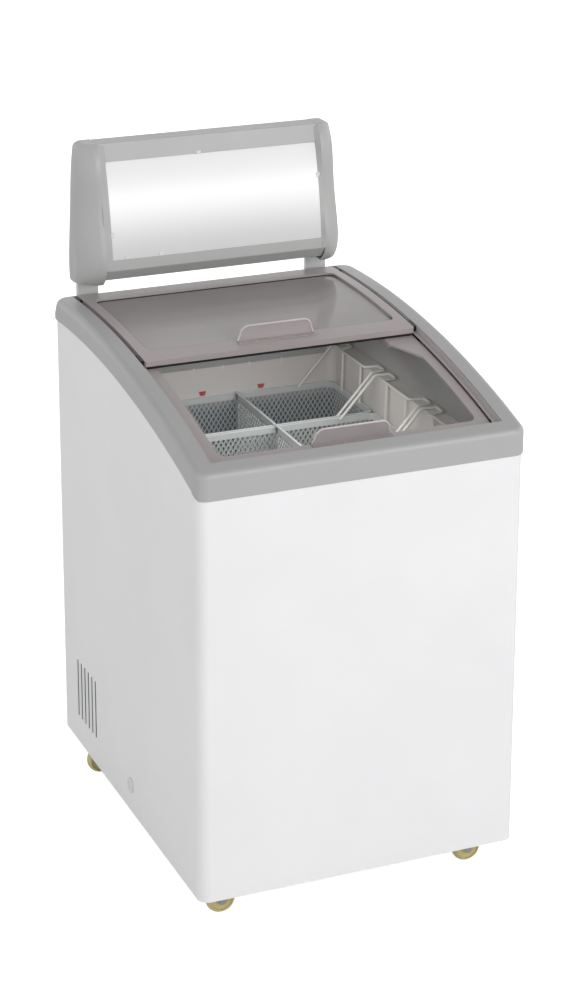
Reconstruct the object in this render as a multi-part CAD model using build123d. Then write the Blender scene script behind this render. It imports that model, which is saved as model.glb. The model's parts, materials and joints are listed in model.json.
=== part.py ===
from build123d import *
import math
import os

# An ice cream freezer: a cabinet on castors whose top is one arc falling to the front, two curved
# glass lids that slide on that arc, hanging mesh baskets, and a light box on two posts behind.
# Millimetres. +Z is up, the front faces -Y and X is to the right. Lengths along Y are measured from
# the middle of the cabinet, and the finished pieces are moved so that the origin lies on the floor
# in the middle of the whole outline.

# Cabinet
cabinet_width = 560.0
cabinet_depth = 700.0
castor_height = 58.0
shell_thickness = 0.8
shell_front_radius = 18.0
shell_rear_radius = 12.0
rear_return = 26.0
back_panel_thickness = 1.0
pan_recess = 8.0
pan_thickness = 1.5
pan_edge_gap = 1.0

# The arch: the side panels' top edge is one arc from front to back
arch_radius = 1952.0
arch_crest_setback = 118.0
arch_crest_rise = 782.0
shell_tuck = 8.0

# Rim
rim_side_width = 30.0
rim_proud = 3.0
rim_wall = 2.5
rim_crease = 12.0
rim_lower_round = 2.2
rim_top_rear_radius = 40.0
skirt_drop = 5.2
skirt_break_inset = 22.0
skirt_flat = 9.0

# Neck, the hole under the lids; insets are from the cabinet's front and back
lid_bay_front_inset = 25.0
lid_bay_rear_inset = 7.0
throat_front_inset = 50.0
throat_rear_inset = 63.0
collar_wall = 3.0
deck_thickness = 2.0
rear_collar_drop = 14.0

# Liner
side_ledge_width = 26.0
front_ledge_width = 15.0
ledge_drop = 21.1
liner_wall = 1.5
liner_floor_rise = 75.0
liner_corner_radius = 14.0
drain_y = -15.0
drain_rise = 50.0
drain_inlet_inset = 39.0
drain_outer_radius = 10.0
drain_bore_radius = 8.0
drain_bend_radius = 16.0

# Machine bay
bay_depth = 205.0
bay_rise = 300.0
bay_foam = 45.0
bay_side_inset = 50.0
bay_cover_overlap = 12.0
bay_cover_thickness = 1.2
cover_slot_rows = 11
cover_slot_columns = 3
cover_slot_width = 5.0

# Louvres low on both sides
louvre_count = 6
louvre_pitch = 19.3
louvre_first_setback = 176.0
louvre_low = 52.0
louvre_length = 113.0
louvre_width = 9.0
louvre_height = 2.6

# Evaporator tube round the liner
coil_turns = 6
coil_pitch = 42.0
coil_tube_radius = 4.0
coil_start_rise = 400.0
coil_cavity = 11.0

# Lids; the upper one is flush with the rim's top
lid_thickness = 9.7
lower_lid_rise = 13.6
lid_gap = 5.0
lid_corner_radius = 6.0
glass_thickness = 4.0
glass_lip = 7.0
glass_inset = 3.88
upper_lid_side_gap = 8.0
lower_lid_side_gap = 10.0
upper_side_rail = 17.0
lower_side_rail = 18.0
upper_lid_front_y = -12.0
upper_front_rail = 40.0
upper_rear_rail = 43.0
lid_overlap = 22.0
lower_rear_rail = 40.0
lower_front_rail = 33.0
opening_radius = 14.0
web_length_x = 35.0
web_length_y = 60.0
grip_base_half_width = 70.0
grip_top_half_width = 52.0
grip_height = 27.0
grip_thickness = 3.0
grip_round = 11.0
grip_foot = 12.0
grip_setback = 7.0
glide_length = 26.0
seal_length = 6.0
seal_setback = 2.0
track_web = 1.7
shelf_width = 14.0
rail_width = 8.5
shelf_thickness = 2.0
slide_gap = 0.3
seat_gap = 0.3

# Baskets
basket_end_gap = 5.0
basket_rear_gap = 4.5
basket_front_gap = 15.5
basket_gap = 9.0
basket_names = ("rear", "middle", "front")
basket_drop = 67.0
basket_height = 230.0
basket_taper = 7.0
basket_wall = 1.5
basket_corner_radius = 14.0
basket_rim_height = 6.5
basket_rim_proud = 2.5
wire_radius = 2.5
hook_reach = 20.0
hook_width = 24.0
hook_bend_radius = 5.5
brace_inset = 67.0
divider_x = 33.0
divider_thickness = 1.5

# Light box on its posts; heights are from its lower edge
post_width = 38.0
post_depth = 12.0
post_offset = 12.0
post_foot_drop = 222.0
post_foot_height = 114.0
post_top_gap = 30.0
post_slot_gap = 1.0
sign_gap = 16.0
sign_height = 253.0
sign_back_thickness = 1.5
sign_side_inset = 75.0
sign_lip_inset = 67.0
sign_lip_height = 36.0
sign_throat_inset = 50.0
sign_throat_height = 16.0
sign_top_inset = 23.0
sign_bulge = 7.0
sign_wall = 2.2
panel_low_height = 54.0
panel_high_height = 222.0
panel_thickness = 3.0
panel_tongue = 6.0
cap_face_width = 8.0
cap_foot_height = 6.0
cap_belly_heights = (94.0, 164.0)
cap_reaches = (41.0, 42.0, 40.0, 37.0, 30.0)
cap_crown_round = 16.0
lamp_radius = 8.0
lamp_end_gap = 19.0
lamp_height = 139.0
lamp_setback = 28.0
lamp_holder_width = 10.0
lamp_holder_height = 22.0
ballast_length = 140.0
ballast_depth = 18.0
ballast_height = 28.0
ballast_lift = 45.0

# Castors
wheel_radius = 25.0
wheel_width = 20.0
tread_round = 5.0
castor_trail = 14.0
front_castor_side_inset = 71.0
front_castor_inset = 64.0
rear_castor_side_inset = 48.0
rear_castor_inset = 98.0
axle_radius = 3.0
axle_clearance = 0.05
king_pin_radius = 5.0
fork_thickness = 2.0
fork_side_gap = 0.6
fork_crown_gap = 1.5
castor_plate_thickness = 2.0
castor_plate_length = 62.0
castor_plate_width = 50.0

# Refrigeration parts on the pan
compressor_x = 95.0
compressor_setback = 100.0
compressor_radius = 66.0
compressor_height = 150.0
pot_flange_proud = 4.0
grommet_height = 14.0
grommet_radius = 9.0
foot_clearance = 18.0
foot_spread_y = 52.0
foot_thickness = 3.0
condenser_side_inset = 34.0
condenser_width = 44.0
condenser_setback = 30.0
condenser_height = 190.0
condenser_fins = 22
condenser_tube_radius = 4.0
condenser_rows = 5
fan_radius = 68.0
fan_blade_count = 5
fan_gap = 3.0
fan_depth = 22.0
shroud_thickness = 1.5
shroud_margin = 1.5
fan_motor_radius = 30.0
fan_motor_length = 46.0
motor_shaft_radius = 3.0
drier_radius = 10.0
drier_length = 96.0
drier_offset = 60.0
drier_setback = 40.0
knob_inset = 48.0
knob_rise = 248.0
knob_radius = 17.0
knob_height = 14.0
knob_spindle_radius = 3.0
gland_inset = 48.0
gland_rise = 60.0
gland_radius = 8.0

# Places worked out from the sizes above: the cabinet, the arch and the neck
half_width = cabinet_width / 2
half_depth = cabinet_depth / 2
base_z = castor_height
arch_crest_y = half_depth - arch_crest_setback
arch_centre_z = base_z + arch_crest_rise - arch_radius
arch_axis = Axis((0, arch_crest_y, arch_centre_z), (1, 0, 0))
sides = (-1, 1)


def arch_z(y, rise=0.0):
    """Height of the arch, raised by rise, above the floor at y."""
    return arch_centre_z + math.sqrt((arch_radius + rise) ** 2 - (y - arch_crest_y) ** 2)


pan_top_z = base_z + pan_recess + pan_thickness
skirt_z = arch_z(-half_depth) - skirt_drop
skirt_break_y = -half_depth + skirt_break_inset
neck_half_width = half_width - rim_side_width
lid_bay_front_y = -half_depth + lid_bay_front_inset
lid_bay_rear_y = half_depth - lid_bay_rear_inset
throat_front_y = -half_depth + throat_front_inset
throat_rear_y = half_depth - throat_rear_inset

# The liner and the machine bay
liner_half_width = neck_half_width - side_ledge_width
liner_front_y = throat_front_y + front_ledge_width
ledge_z = arch_z(throat_front_y) - ledge_drop
rear_collar_z = ledge_z - rear_collar_drop
bay_front_y = half_depth - bay_depth
step_y = bay_front_y - bay_foam
step_rise = bay_rise + bay_foam
bay_opening_half_width = half_width - bay_side_inset
drain_inlet_x = -(liner_half_width - drain_inlet_inset)
louvre_first_y = half_depth - louvre_first_setback

# The lids and their tracks
upper_lid_rise = lower_lid_rise + lid_thickness + lid_gap
rim_rise = upper_lid_rise + lid_thickness
upper_lid_half_width = neck_half_width - upper_lid_side_gap
lower_lid_half_width = neck_half_width - lower_lid_side_gap
upper_opening_half_width = upper_lid_half_width - upper_side_rail
lower_opening_half_width = lower_lid_half_width - lower_side_rail
upper_opening_front_y = upper_lid_front_y + upper_front_rail
upper_opening_rear_y = lid_bay_rear_y - upper_rear_rail
lower_lid_rear_y = upper_lid_front_y + lid_overlap
lower_opening_rear_y = lower_lid_rear_y - lower_rear_rail
lower_opening_front_y = lid_bay_front_y + lower_front_rail
shelf_inner_x = neck_half_width - shelf_width
rail_inner_x = neck_half_width - rail_width

# The baskets share the liner's depth
basket_count = len(basket_names)
basket_row = throat_rear_y - basket_rear_gap - liner_front_y - basket_front_gap
basket_half_depth = (basket_row - (basket_count - 1) * basket_gap) / basket_count / 2
basket_half_length = liner_half_width - basket_end_gap
basket_pitch = 2 * basket_half_depth + basket_gap
basket_rim_z = ledge_z - basket_drop
brace_x = basket_half_length - brace_inset

# The light box and the outline
sign_low_rise = arch_crest_rise + rim_rise + sign_gap
sign_top_rise = sign_low_rise + sign_height
sign_lip_rise = sign_low_rise + sign_lip_height
sign_throat_rise = sign_low_rise + sign_throat_height
panel_low_rise = sign_low_rise + panel_low_height
panel_high_rise = sign_low_rise + panel_high_height
lamp_rise = sign_low_rise + lamp_height
sign_seam_x = half_width - sign_side_inset
sign_lip_y = half_depth - sign_lip_inset
sign_throat_y = half_depth - sign_throat_inset
sign_top_front_y = half_depth - sign_top_inset
sign_back_y = half_depth + rim_proud + slide_gap + post_depth + sign_back_thickness
cap_front_x = sign_seam_x + cap_face_width
cap_rises = (sign_low_rise + cap_foot_height, sign_lip_rise,
             *[sign_low_rise + height for height in cap_belly_heights], sign_top_rise)
cap_half_widths = [sign_seam_x + reach for reach in cap_reaches]
post_x = sign_seam_x + post_offset
post_low_rise = arch_crest_rise - post_foot_drop
lamp_length = 2 * (sign_seam_x - lamp_end_gap)
outline_shift = -(sign_back_y - (half_depth + rim_proud)) / 2

# The castors and the refrigeration parts
front_castor_x = half_width - front_castor_side_inset
front_castor_y = -half_depth + front_castor_inset
rear_castor_x = half_width - rear_castor_side_inset
rear_castor_y = half_depth - rear_castor_inset
compressor_y = half_depth - compressor_setback
foot_spread_x = compressor_radius + foot_clearance
condenser_x = -half_width + condenser_side_inset
condenser_rear_y = half_depth - condenser_setback
condenser_front_y = condenser_rear_y - 2 * (fan_radius + fan_gap + shroud_thickness + shroud_margin)
knob_x = bay_opening_half_width - knob_inset
gland_x = -bay_opening_half_width + gland_inset


def block(x, y, z):
    """A box between two values along each axis."""
    centre = [(pair[0] + pair[1]) / 2 for pair in (x, y, z)]
    return Pos(*centre) * Box(x[1] - x[0], y[1] - y[0], z[1] - z[0])


def rounded_plan(half_x, front_y, rear_y, front_radius, rear_radius):
    """A rectangle in plan with its own radius at the front and at the rear corners."""
    plan = Pos(0, (front_y + rear_y) / 2) * Rectangle(2 * half_x, rear_y - front_y)
    plan = fillet(plan.vertices().group_by(Axis.Y)[0], front_radius)
    return fillet(plan.vertices().group_by(Axis.Y)[-1], rear_radius)


def plan_prism(half_x, front_y, rear_y, front_radius, rear_radius, low_z, high_z):
    """An upright prism on a rounded plan."""
    plan = rounded_plan(half_x, front_y, rear_y, front_radius, rear_radius)
    return extrude(Pos(0, 0, low_z) * plan, high_z - low_z)


def arch_angle(y, rise):
    """Degrees from the crest to y on the raised arch, positive towards the front."""
    return math.degrees(math.asin((arch_crest_y - y) / (arch_radius + rise)))


def arch_point(x, rise, angle):
    """A point on the raised arch, turned forward from the crest by angle."""
    radius = arch_radius + rise
    turn = math.radians(angle)
    y = arch_crest_y - radius * math.sin(turn)
    return (x, y, arch_centre_z + radius * math.cos(turn))


def arch_arc(front_y, rear_y, rise):
    """The raised arch as an edge in the YZ plane, from front to rear."""
    middle_y = (front_y + rear_y) / 2
    points = [(0, y, arch_z(y, rise)) for y in (front_y, middle_y, rear_y)]
    return ThreePointArc(*points)


def side_prism(edges, half_x):
    """A solid whose side view is the closed outline of the edges."""
    return extrude(make_face(edges), half_x, dir=(1, 0, 0), both=True)


def under_arch(front_y, rear_y, rise, low_z, half_x):
    """What lies under the raised arch, down to low_z."""
    top = arch_arc(front_y, rear_y, rise)
    start, end = top @ 0, top @ 1
    rest = Polyline(end, (0, rear_y, low_z), (0, front_y, low_z), start)
    return side_prism([top, rest], half_x)


def arch_band(section, front_angle, rear_angle):
    """A closed section of (x, rise) points carried along the arch between two angles."""
    outline = Polyline(*[arch_point(x, rise, rear_angle) for x, rise in section], close=True)
    return revolve(make_face(outline), arch_axis, front_angle - rear_angle)


def arch_slab(half_x, low_rise, high_rise, front_y, rear_y):
    """A curved slab on the arch, as wide as twice half_x."""
    section = [(-half_x, low_rise), (half_x, low_rise), (half_x, high_rise), (-half_x, high_rise)]
    return arch_band(section, arch_angle(front_y, high_rise), arch_angle(rear_y, high_rise))


def four_strips(ring, front_y, rear_y):
    """A ring as its front and rear strips, over its whole width, and its left and right ones."""
    reach = cabinet_width + cabinet_depth
    across = (-reach, reach)
    spans = ((across, (-reach, front_y)), (across, (rear_y, reach)),
             ((-reach, 0), (front_y, rear_y)), ((0, reach), (front_y, rear_y)))
    return [ring & block(x, y, (base_z, base_z + reach)) for x, y in spans]


def louvre(side, y):
    """The outside and the hollow of one pressed louvre, and its open rear edge."""
    middle_z = base_z + louvre_low + louvre_length / 2
    face = Plane((side * half_width, y, middle_z), x_dir=(0, 1, 0), z_dir=(side, 0, 0))
    pressed = extrude(face * Rectangle(louvre_width, louvre_length), louvre_height, taper=40)
    hollow = Pos(-side * shell_thickness, 0, 0) * pressed
    throat = face * Pos(louvre_width / 4, 0, -shell_thickness) * Box(
        louvre_width / 2, louvre_length - 2 * louvre_height, 2 * louvre_height)
    return pressed, hollow, throat


def outer_shell():
    """Front and sides in one folded sheet, with returns behind, louvres and the drain hole."""
    rear_y = half_depth - back_panel_thickness
    top_z = arch_z(arch_crest_y, rim_rise)
    t = shell_thickness
    outer = plan_prism(half_width, -half_depth, rear_y, shell_front_radius, shell_rear_radius,
                       base_z, top_z)
    inner = plan_prism(half_width - t, -half_depth + t, rear_y - t, shell_front_radius - t,
                       shell_rear_radius - t, base_z, top_z)
    shell = outer - inner
    shell -= block((-half_width + rear_return, half_width - rear_return),
                   (rear_y - 2 * t, rear_y + t), (base_z, top_z))
    shell &= under_arch(-half_depth - t, half_depth + t, shell_tuck, base_z, cabinet_width)
    for side in sides:
        for index in range(louvre_count):
            pressed, hollow, throat = louvre(side, louvre_first_y + index * louvre_pitch)
            shell = shell + pressed - hollow - throat
    hole = Pos(-half_width, drain_y, base_z + drain_rise) * Rot(0, 90, 0) * Cylinder(
        drain_outer_radius + seat_gap, 4 * t)
    return shell - hole


def back_panel():
    """The flat rear sheet with the machine bay's opening."""
    top_z = arch_z(half_depth, 0)
    half_x = half_width - shell_rear_radius
    sheet = block((-half_x, half_x), (half_depth - back_panel_thickness, half_depth),
                  (base_z, top_z))
    bay = block((-bay_opening_half_width, bay_opening_half_width),
                (half_depth - 2 * back_panel_thickness, half_depth + back_panel_thickness),
                (pan_top_z, base_z + bay_rise))
    return sheet - bay


def cover_span():
    """Half width, low and high z of the machine bay's cover."""
    half_x = bay_opening_half_width + bay_cover_overlap
    return half_x, base_z + pan_edge_gap, base_z + bay_rise + bay_cover_overlap


def bay_cover():
    """The rear cover with three columns of air slots, and holes for the gland and the knob."""
    half_x, low_z, high_z = cover_span()
    cover = block((-half_x, half_x), (half_depth, half_depth + bay_cover_thickness), (low_z, high_z))
    column = 2 * bay_opening_half_width / cover_slot_columns
    row = (high_z - low_z - 4 * bay_cover_overlap) / cover_slot_rows
    slots = []
    for c in range(cover_slot_columns - 1):
        for r in range(cover_slot_rows):
            x = -bay_opening_half_width + (c + 0.5) * column
            z = low_z + 2 * bay_cover_overlap + (r + 0.5) * row
            slots.append(Pos(x, half_depth, z) * Rot(90, 0, 0) * extrude(
                SlotOverall(0.8 * column, cover_slot_width), 4 * bay_cover_thickness, both=True))
    cover -= Part() + slots
    cover -= knob_place() * Cylinder(knob_spindle_radius + seat_gap, 6 * bay_cover_thickness)
    return cover - gland_place() * Cylinder(gland_radius + seat_gap, 6 * bay_cover_thickness)


def cover_screws():
    """Six pan-head screws round the bay cover."""
    half_x, low_z, high_z = cover_span()
    inset = bay_cover_overlap / 2
    heads = []
    for side in sides:
        for z in (low_z + inset, (low_z + high_z) / 2, high_z - inset):
            place = Pos(side * (half_x - inset), half_depth + bay_cover_thickness, z) * Rot(-90, 0, 0)
            head = Cylinder(4, 2.2, align=(Align.CENTER, Align.CENTER, Align.MIN))
            head = fillet(head.edges().group_by(Axis.Z)[-1], 1.2)
            cross = Pos(0, 0, 2.2) * (Box(4, 0.9, 1.6) + Box(0.9, 4, 1.6))
            heads.append(place * (head - cross))
    return heads


def base_pan():
    """Folded floor pan: a plate with a turned-down edge and three stiffening beads."""
    t = shell_thickness
    grow = pan_thickness
    low_z = base_z + pan_edge_gap
    rear_y = half_depth - back_panel_thickness - t
    radius = shell_front_radius - t
    outer = plan_prism(half_width - t, -half_depth + t, rear_y, radius, shell_rear_radius,
                       low_z, pan_top_z)
    inner = plan_prism(half_width - t - grow, -half_depth + t + grow, rear_y - grow,
                       radius - grow, shell_rear_radius - grow, low_z - 1, pan_top_z - grow)
    pan = outer - inner
    for x in (-0.3, 0.0, 0.3):
        bead = Pos(x * cabinet_width, 0, pan_top_z - grow) * Rot(90, 0, 0) * Cylinder(
            4, 0.55 * cabinet_depth)
        pan += bead & block((-half_width, half_width), (-half_depth, half_depth),
                            (pan_top_z - grow - 4, pan_top_z - grow))
    return pan


def tub(grow, low_z=None, high_z=None):
    """The liner's form, grown all round: deep in front and stepped over the machine bay."""
    floor_z = base_z + liner_floor_rise - grow
    step_z = base_z + step_rise - grow
    front_y, rear_y = liner_front_y - grow, throat_rear_y + grow
    top_z = ledge_z
    points = [(0, front_y, floor_z), (0, step_y + grow, floor_z), (0, step_y + grow, step_z),
              (0, rear_y, step_z), (0, rear_y, top_z), (0, front_y, top_z)]
    form = side_prism(Polyline(*points, close=True), liner_half_width + grow)
    radius = liner_corner_radius + grow
    form &= plan_prism(liner_half_width + grow, front_y, rear_y, radius, radius, floor_z, top_z)
    if low_z is not None:
        form &= block((-cabinet_width, cabinet_width), (-cabinet_depth, cabinet_depth),
                      (low_z, high_z))
    return form


def inner_liner():
    """Moulded tub with a ledge at the sides and the front for the baskets' hooks."""
    outer_x = neck_half_width + collar_wall
    ledge = block((-outer_x, outer_x), (throat_front_y - collar_wall, throat_rear_y + collar_wall),
                  (ledge_z - liner_wall, ledge_z))
    liner = tub(liner_wall) + ledge - tub(0)
    liner -= block((-liner_half_width, liner_half_width),
                   (throat_rear_y, throat_rear_y + 2 * collar_wall), (rear_collar_z, ledge_z + 1))
    drain = Pos(drain_inlet_x, drain_y, base_z + liner_floor_rise) * Cylinder(
        drain_outer_radius + seat_gap, 8 * liner_wall)
    return liner - drain


def collar_drop():
    """The part of the collar that reaches below the ledge, behind the rear basket."""
    return block((-liner_half_width, liner_half_width),
                 (throat_rear_y, throat_rear_y + collar_wall), (rear_collar_z, ledge_z))


def neck_collar():
    """Four dark strips between the ledge and the rim, with curved decks in front and behind."""
    w = collar_wall
    top_z = arch_z(arch_crest_y, rim_rise)
    x = neck_half_width
    ring = block((-x - w, x + w), (throat_front_y - w, throat_rear_y + w), (ledge_z, top_z))
    ring -= block((-x, x), (throat_front_y, throat_rear_y), (ledge_z - 1, top_z + 1))
    ring &= under_arch(-half_depth, half_depth, 0, base_z, cabinet_width)
    deck = arch_slab(x + rim_wall, -deck_thickness, 0, lid_bay_front_y - rim_wall,
                     lid_bay_rear_y + rim_wall)
    deck -= block((-x - w, x + w), (throat_front_y, throat_rear_y), (ledge_z, top_z))
    return four_strips(ring + deck + collar_drop(), throat_front_y, throat_rear_y)


def insulation():
    """Foam between the shell and the liner, hollow for the machine bay, the coil and the drain."""
    t = shell_thickness
    rear_y = half_depth - back_panel_thickness - t
    outer_x = neck_half_width + collar_wall
    foam = plan_prism(half_width - t, -half_depth + t, rear_y, shell_front_radius - t,
                      shell_rear_radius - t, pan_top_z, arch_z(arch_crest_y, 0))
    foam &= under_arch(-half_depth, half_depth, -deck_thickness, base_z, cabinet_width)
    foam -= tub(liner_wall)
    foam -= block((-outer_x, outer_x), (throat_front_y - collar_wall, throat_rear_y + collar_wall),
                  (ledge_z - liner_wall, arch_z(arch_crest_y, rim_rise)))
    foam -= collar_drop()
    foam -= block((-half_width, half_width), (bay_front_y, half_depth), (base_z, base_z + bay_rise))
    low_z = base_z + coil_start_rise - coil_cavity
    high_z = base_z + coil_start_rise + coil_turns * coil_pitch + coil_cavity
    foam -= tub(coil_cavity, low_z, high_z)
    return foam - drain_path(drain_outer_radius + seat_gap)


def drain_path(radius):
    """The drain elbow as a rod of the given radius, from the liner's floor to the left side."""
    low_z = base_z + drain_rise
    top_z = base_z + liner_floor_rise
    line = FilletPolyline((drain_inlet_x, drain_y, top_z), (drain_inlet_x, drain_y, low_z),
                          (-half_width, drain_y, low_z), radius=drain_bend_radius)
    start = Plane((drain_inlet_x, drain_y, top_z), z_dir=(0, 0, -1))
    return sweep(start * Circle(radius), path=line)


def drain_tube():
    """Plastic elbow, open at both ends."""
    return drain_path(drain_outer_radius) - drain_path(drain_bore_radius)


def drain_plug():
    """Flanged plug whose spigot slides in the drain tube's mouth."""
    mouth = Pos(-half_width, drain_y, base_z + drain_rise) * Rot(0, -90, 0)
    flange = Cylinder(14, 2.4, align=(Align.CENTER, Align.CENTER, Align.MIN))
    flange = fillet(flange.edges().group_by(Axis.Z)[-1], 1.2)
    spigot = Cylinder(drain_bore_radius - axle_clearance, 16,
                      align=(Align.CENTER, Align.CENTER, Align.MAX))
    dish = Pos(0, 0, 2.4) * Cylinder(8, 2.0)
    return mouth * (flange + Pos(0, 0, seat_gap / 2) * spigot - dish)


def evaporator_coil():
    """One unbroken tube wound round the liner, climbing steadily."""
    reach = liner_wall + seat_gap + coil_tube_radius
    x = liner_half_width + reach
    front_y, rear_y = liner_front_y - reach, throat_rear_y + reach
    corners = [(-x, front_y), (x, front_y), (x, rear_y), (-x, rear_y)]
    points = [(0, front_y, base_z + coil_start_rise)]
    for index in range(4 * coil_turns):
        corner = corners[(index + 1) % 4]
        z = base_z + coil_start_rise + (index + 0.5) * coil_pitch / 4
        points.append((*corner, z))
    points.append((0, front_y, base_z + coil_start_rise + coil_turns * coil_pitch))
    line = FilletPolyline(*points, radius=liner_corner_radius + reach)
    print("evaporator coil, gap between turns", coil_pitch - 2 * coil_tube_radius)
    return sweep(Plane(line @ 0, z_dir=line % 0) * Circle(coil_tube_radius), path=line)


def rim_form(inset, rise, crease, lower_round):
    """The hood as a full block, drawn in by inset; a lower round of nothing gives a flat bottom."""
    half_x = half_width + rim_proud - inset
    front_y = -half_depth - rim_proud + inset
    rear_y = half_depth + rim_proud - inset
    top = arch_arc(front_y, rear_y, rise)
    if lower_round:
        sill = arch_arc(skirt_break_y, rear_y, 0)
        lower = Polyline(sill @ 0, (0, front_y + skirt_flat, skirt_z), (0, front_y, skirt_z), top @ 0)
        outline = [top, Line(top @ 1, sill @ 1), sill, lower]
    else:
        low_z = skirt_z - rim_rise
        outline = [top, Polyline(top @ 1, (0, rear_y, low_z), (0, front_y, low_z), top @ 0)]
    form = side_prism(outline, half_width + 4 * rim_proud)
    front_radius = shell_front_radius + rim_proud - inset
    rear_radii = (shell_rear_radius + rim_proud - inset, rim_top_rear_radius - inset)
    heights = (arch_z(rear_y, rim_crease), arch_z(arch_crest_y, rim_rise + rim_crease))
    low, high = [Pos(0, 0, z) * rounded_plan(half_x, front_y, rear_y, front_radius, radius)
                 for z, radius in zip(heights, rear_radii)]
    form &= loft([low, high], ruled=True) + extrude(low, base_z - heights[0])

    def on_top(edge):
        points = [edge @ share for share in (0, 0.5, 1)]
        return all(abs(p.Z - arch_z(p.Y, rise)) < 0.01 for p in points)

    def on_bottom(edge):
        start, middle, end = edge @ 0, edge @ 0.5, edge @ 1
        upright = abs(start.X - end.X) + abs(start.Y - end.Y) < 0.01
        across = abs(middle.X) < 1 and front_y + 1 < middle.Y < rear_y - 1
        return not (upright or across or on_top(edge))

    form = fillet(form.edges().filter_by(on_top), crease)
    if lower_round:
        form = fillet(form.edges().filter_by(on_bottom), lower_round)
    return form


def top_rim():
    """Grey hood: outer skirt, curved top and inner wall, open below like a channel."""
    hood = rim_form(0, rim_rise, rim_crease, rim_lower_round)
    low_z, high_z = base_z, arch_z(arch_crest_y, 2 * rim_rise)
    mouth = block((-neck_half_width, neck_half_width), (lid_bay_front_y, lid_bay_rear_y),
                  (low_z, high_z))
    wall = block((-neck_half_width - rim_wall, neck_half_width + rim_wall),
                 (lid_bay_front_y - rim_wall, lid_bay_rear_y + rim_wall), (low_z, high_z))
    channel = rim_form(rim_proud, rim_rise - rim_wall, rim_crease - rim_wall, 0)
    return hood - mouth - (channel - wall)


def track_section(side):
    """Two-level slide track: a web, the lower lid's shelf and the upper lid's rail."""
    outer = neck_half_width
    web = outer - track_web
    shelf = lower_lid_rise - slide_gap
    rail = upper_lid_rise - slide_gap
    right = [(outer, shelf - shelf_thickness), (shelf_inner_x, shelf - shelf_thickness),
             (shelf_inner_x, shelf), (web, shelf), (web, rail - shelf_thickness),
             (rail_inner_x, rail - shelf_thickness), (rail_inner_x, rail), (web, rail),
             (web, rim_rise - shelf_thickness), (outer, rim_rise - shelf_thickness)]
    return [(side * x, rise) for x, rise in right]


def lid_tracks():
    """The left and right tracks, along the rim's inner wall."""
    front = arch_angle(lid_bay_front_y + slide_gap, rim_rise)
    rear = arch_angle(lid_bay_rear_y - slide_gap, rim_rise)
    return [arch_band(track_section(side), front, rear) for side in sides]


def lid_plan(half_x, front_y, rear_y, radius):
    """A tall prism with the lid's or the opening's outline in plan."""
    return plan_prism(half_x, front_y, rear_y, radius, radius, base_z + liner_floor_rise,
                      arch_z(arch_crest_y, 2 * rim_rise))


def lid_frame(rise, half_x, front_y, rear_y, opening, web=None):
    """Curved frame with a rounded opening and, below, a rebate for the glass."""
    plate = arch_slab(half_x, rise, rise + lid_thickness, front_y, rear_y)
    plate &= lid_plan(half_x, front_y - 1, rear_y + 1, lid_corner_radius)
    opening_x, opening_front, opening_rear = opening
    hole = lid_plan(opening_x, opening_front, opening_rear, opening_radius)
    if web:
        hole -= web
    lip = lid_plan(opening_x + glass_lip, opening_front - glass_lip, opening_rear + glass_lip,
                   opening_radius)
    rebate = arch_slab(half_x, rise - 1, glass_top(rise), front_y, rear_y) & lip
    return plate - hole - rebate


def glass_top(rise):
    """Rise of the glass's upper face in a lid whose underside is at rise."""
    return rise + lid_thickness - glass_inset


def lid_glass(rise, half_x, front_y, rear_y, opening):
    """Curved pane under the frame's lip."""
    opening_x, opening_front, opening_rear = opening
    edge = glass_lip - slide_gap
    top = glass_top(rise)
    pane = arch_slab(half_x, top - glass_thickness, top, front_y, rear_y)
    return pane & lid_plan(opening_x + edge, opening_front - edge, opening_rear + edge,
                           opening_radius)


def lid_grip(rise, base_y):
    """Upright finger lip with rounded shoulders on a flat foot."""
    top = rise + lid_thickness
    angle = arch_angle(base_y, top)
    turn = math.radians(angle)
    forward = (0, -math.cos(turn), -math.sin(turn))
    face = Plane(arch_point(0, top, angle), x_dir=(1, 0, 0), z_dir=forward)
    outline = Polyline((-grip_base_half_width, 0), (grip_base_half_width, 0),
                       (grip_top_half_width, grip_height), (-grip_top_half_width, grip_height),
                       close=True)
    lip = make_face(outline)
    lip = fillet(lip.vertices().group_by(Axis.Y)[-1], grip_round)
    plate = extrude(face * lip, grip_thickness)
    foot = arch_slab(grip_base_half_width, top, top + shelf_thickness, base_y - grip_foot, base_y)
    return plate + foot


def lid_glides(rise, half_x, front_y, rear_y):
    """Four black slide blocks at a lid's corners, running in the tracks."""
    high = rise + lid_thickness - slide_gap
    outer = neck_half_width - track_web - slide_gap
    spans = ((front_y + lid_corner_radius, front_y + lid_corner_radius + glide_length),
             (rear_y - lid_corner_radius - glide_length, rear_y - lid_corner_radius))
    glides = []
    for side in sides:
        for low_y, high_y in spans:
            section = [(side * half_x, rise), (side * outer, rise), (side * outer, high),
                       (side * half_x, high)]
            glides.append(arch_band(section, arch_angle(low_y, high), arch_angle(high_y, high)))
    return glides


upper_opening = (upper_opening_half_width, upper_opening_front_y, upper_opening_rear_y)
lower_opening = (lower_opening_half_width, lower_opening_front_y, lower_opening_rear_y)
upper_lid = (upper_lid_rise, upper_lid_half_width, upper_lid_front_y,
             lid_bay_rear_y - seat_gap)
lower_lid = (lower_lid_rise, lower_lid_half_width, lid_bay_front_y + seat_gap, lower_lid_rear_y)


def lower_lid_frame():
    """The lower lid's frame, with the broad web across one rear corner of its opening."""
    x, y = lower_opening_half_width + 1, lower_opening_rear_y + 1
    corner = make_face(Polyline((x, y), (x - web_length_x, y), (x, y - web_length_y), close=True))
    web = extrude(Pos(0, 0, base_z) * corner, 2 * arch_crest_rise)
    return lid_frame(*lower_lid, lower_opening, web)


def lid_brush_seal():
    """Soft strip under the upper lid's front rail that closes the gap over the lower lid."""
    low = lower_lid_rise + lid_thickness + slide_gap
    return arch_slab(shelf_inner_x, low, upper_lid_rise, upper_lid_front_y + seal_setback,
                     upper_lid_front_y + seal_setback + seal_length)


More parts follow.
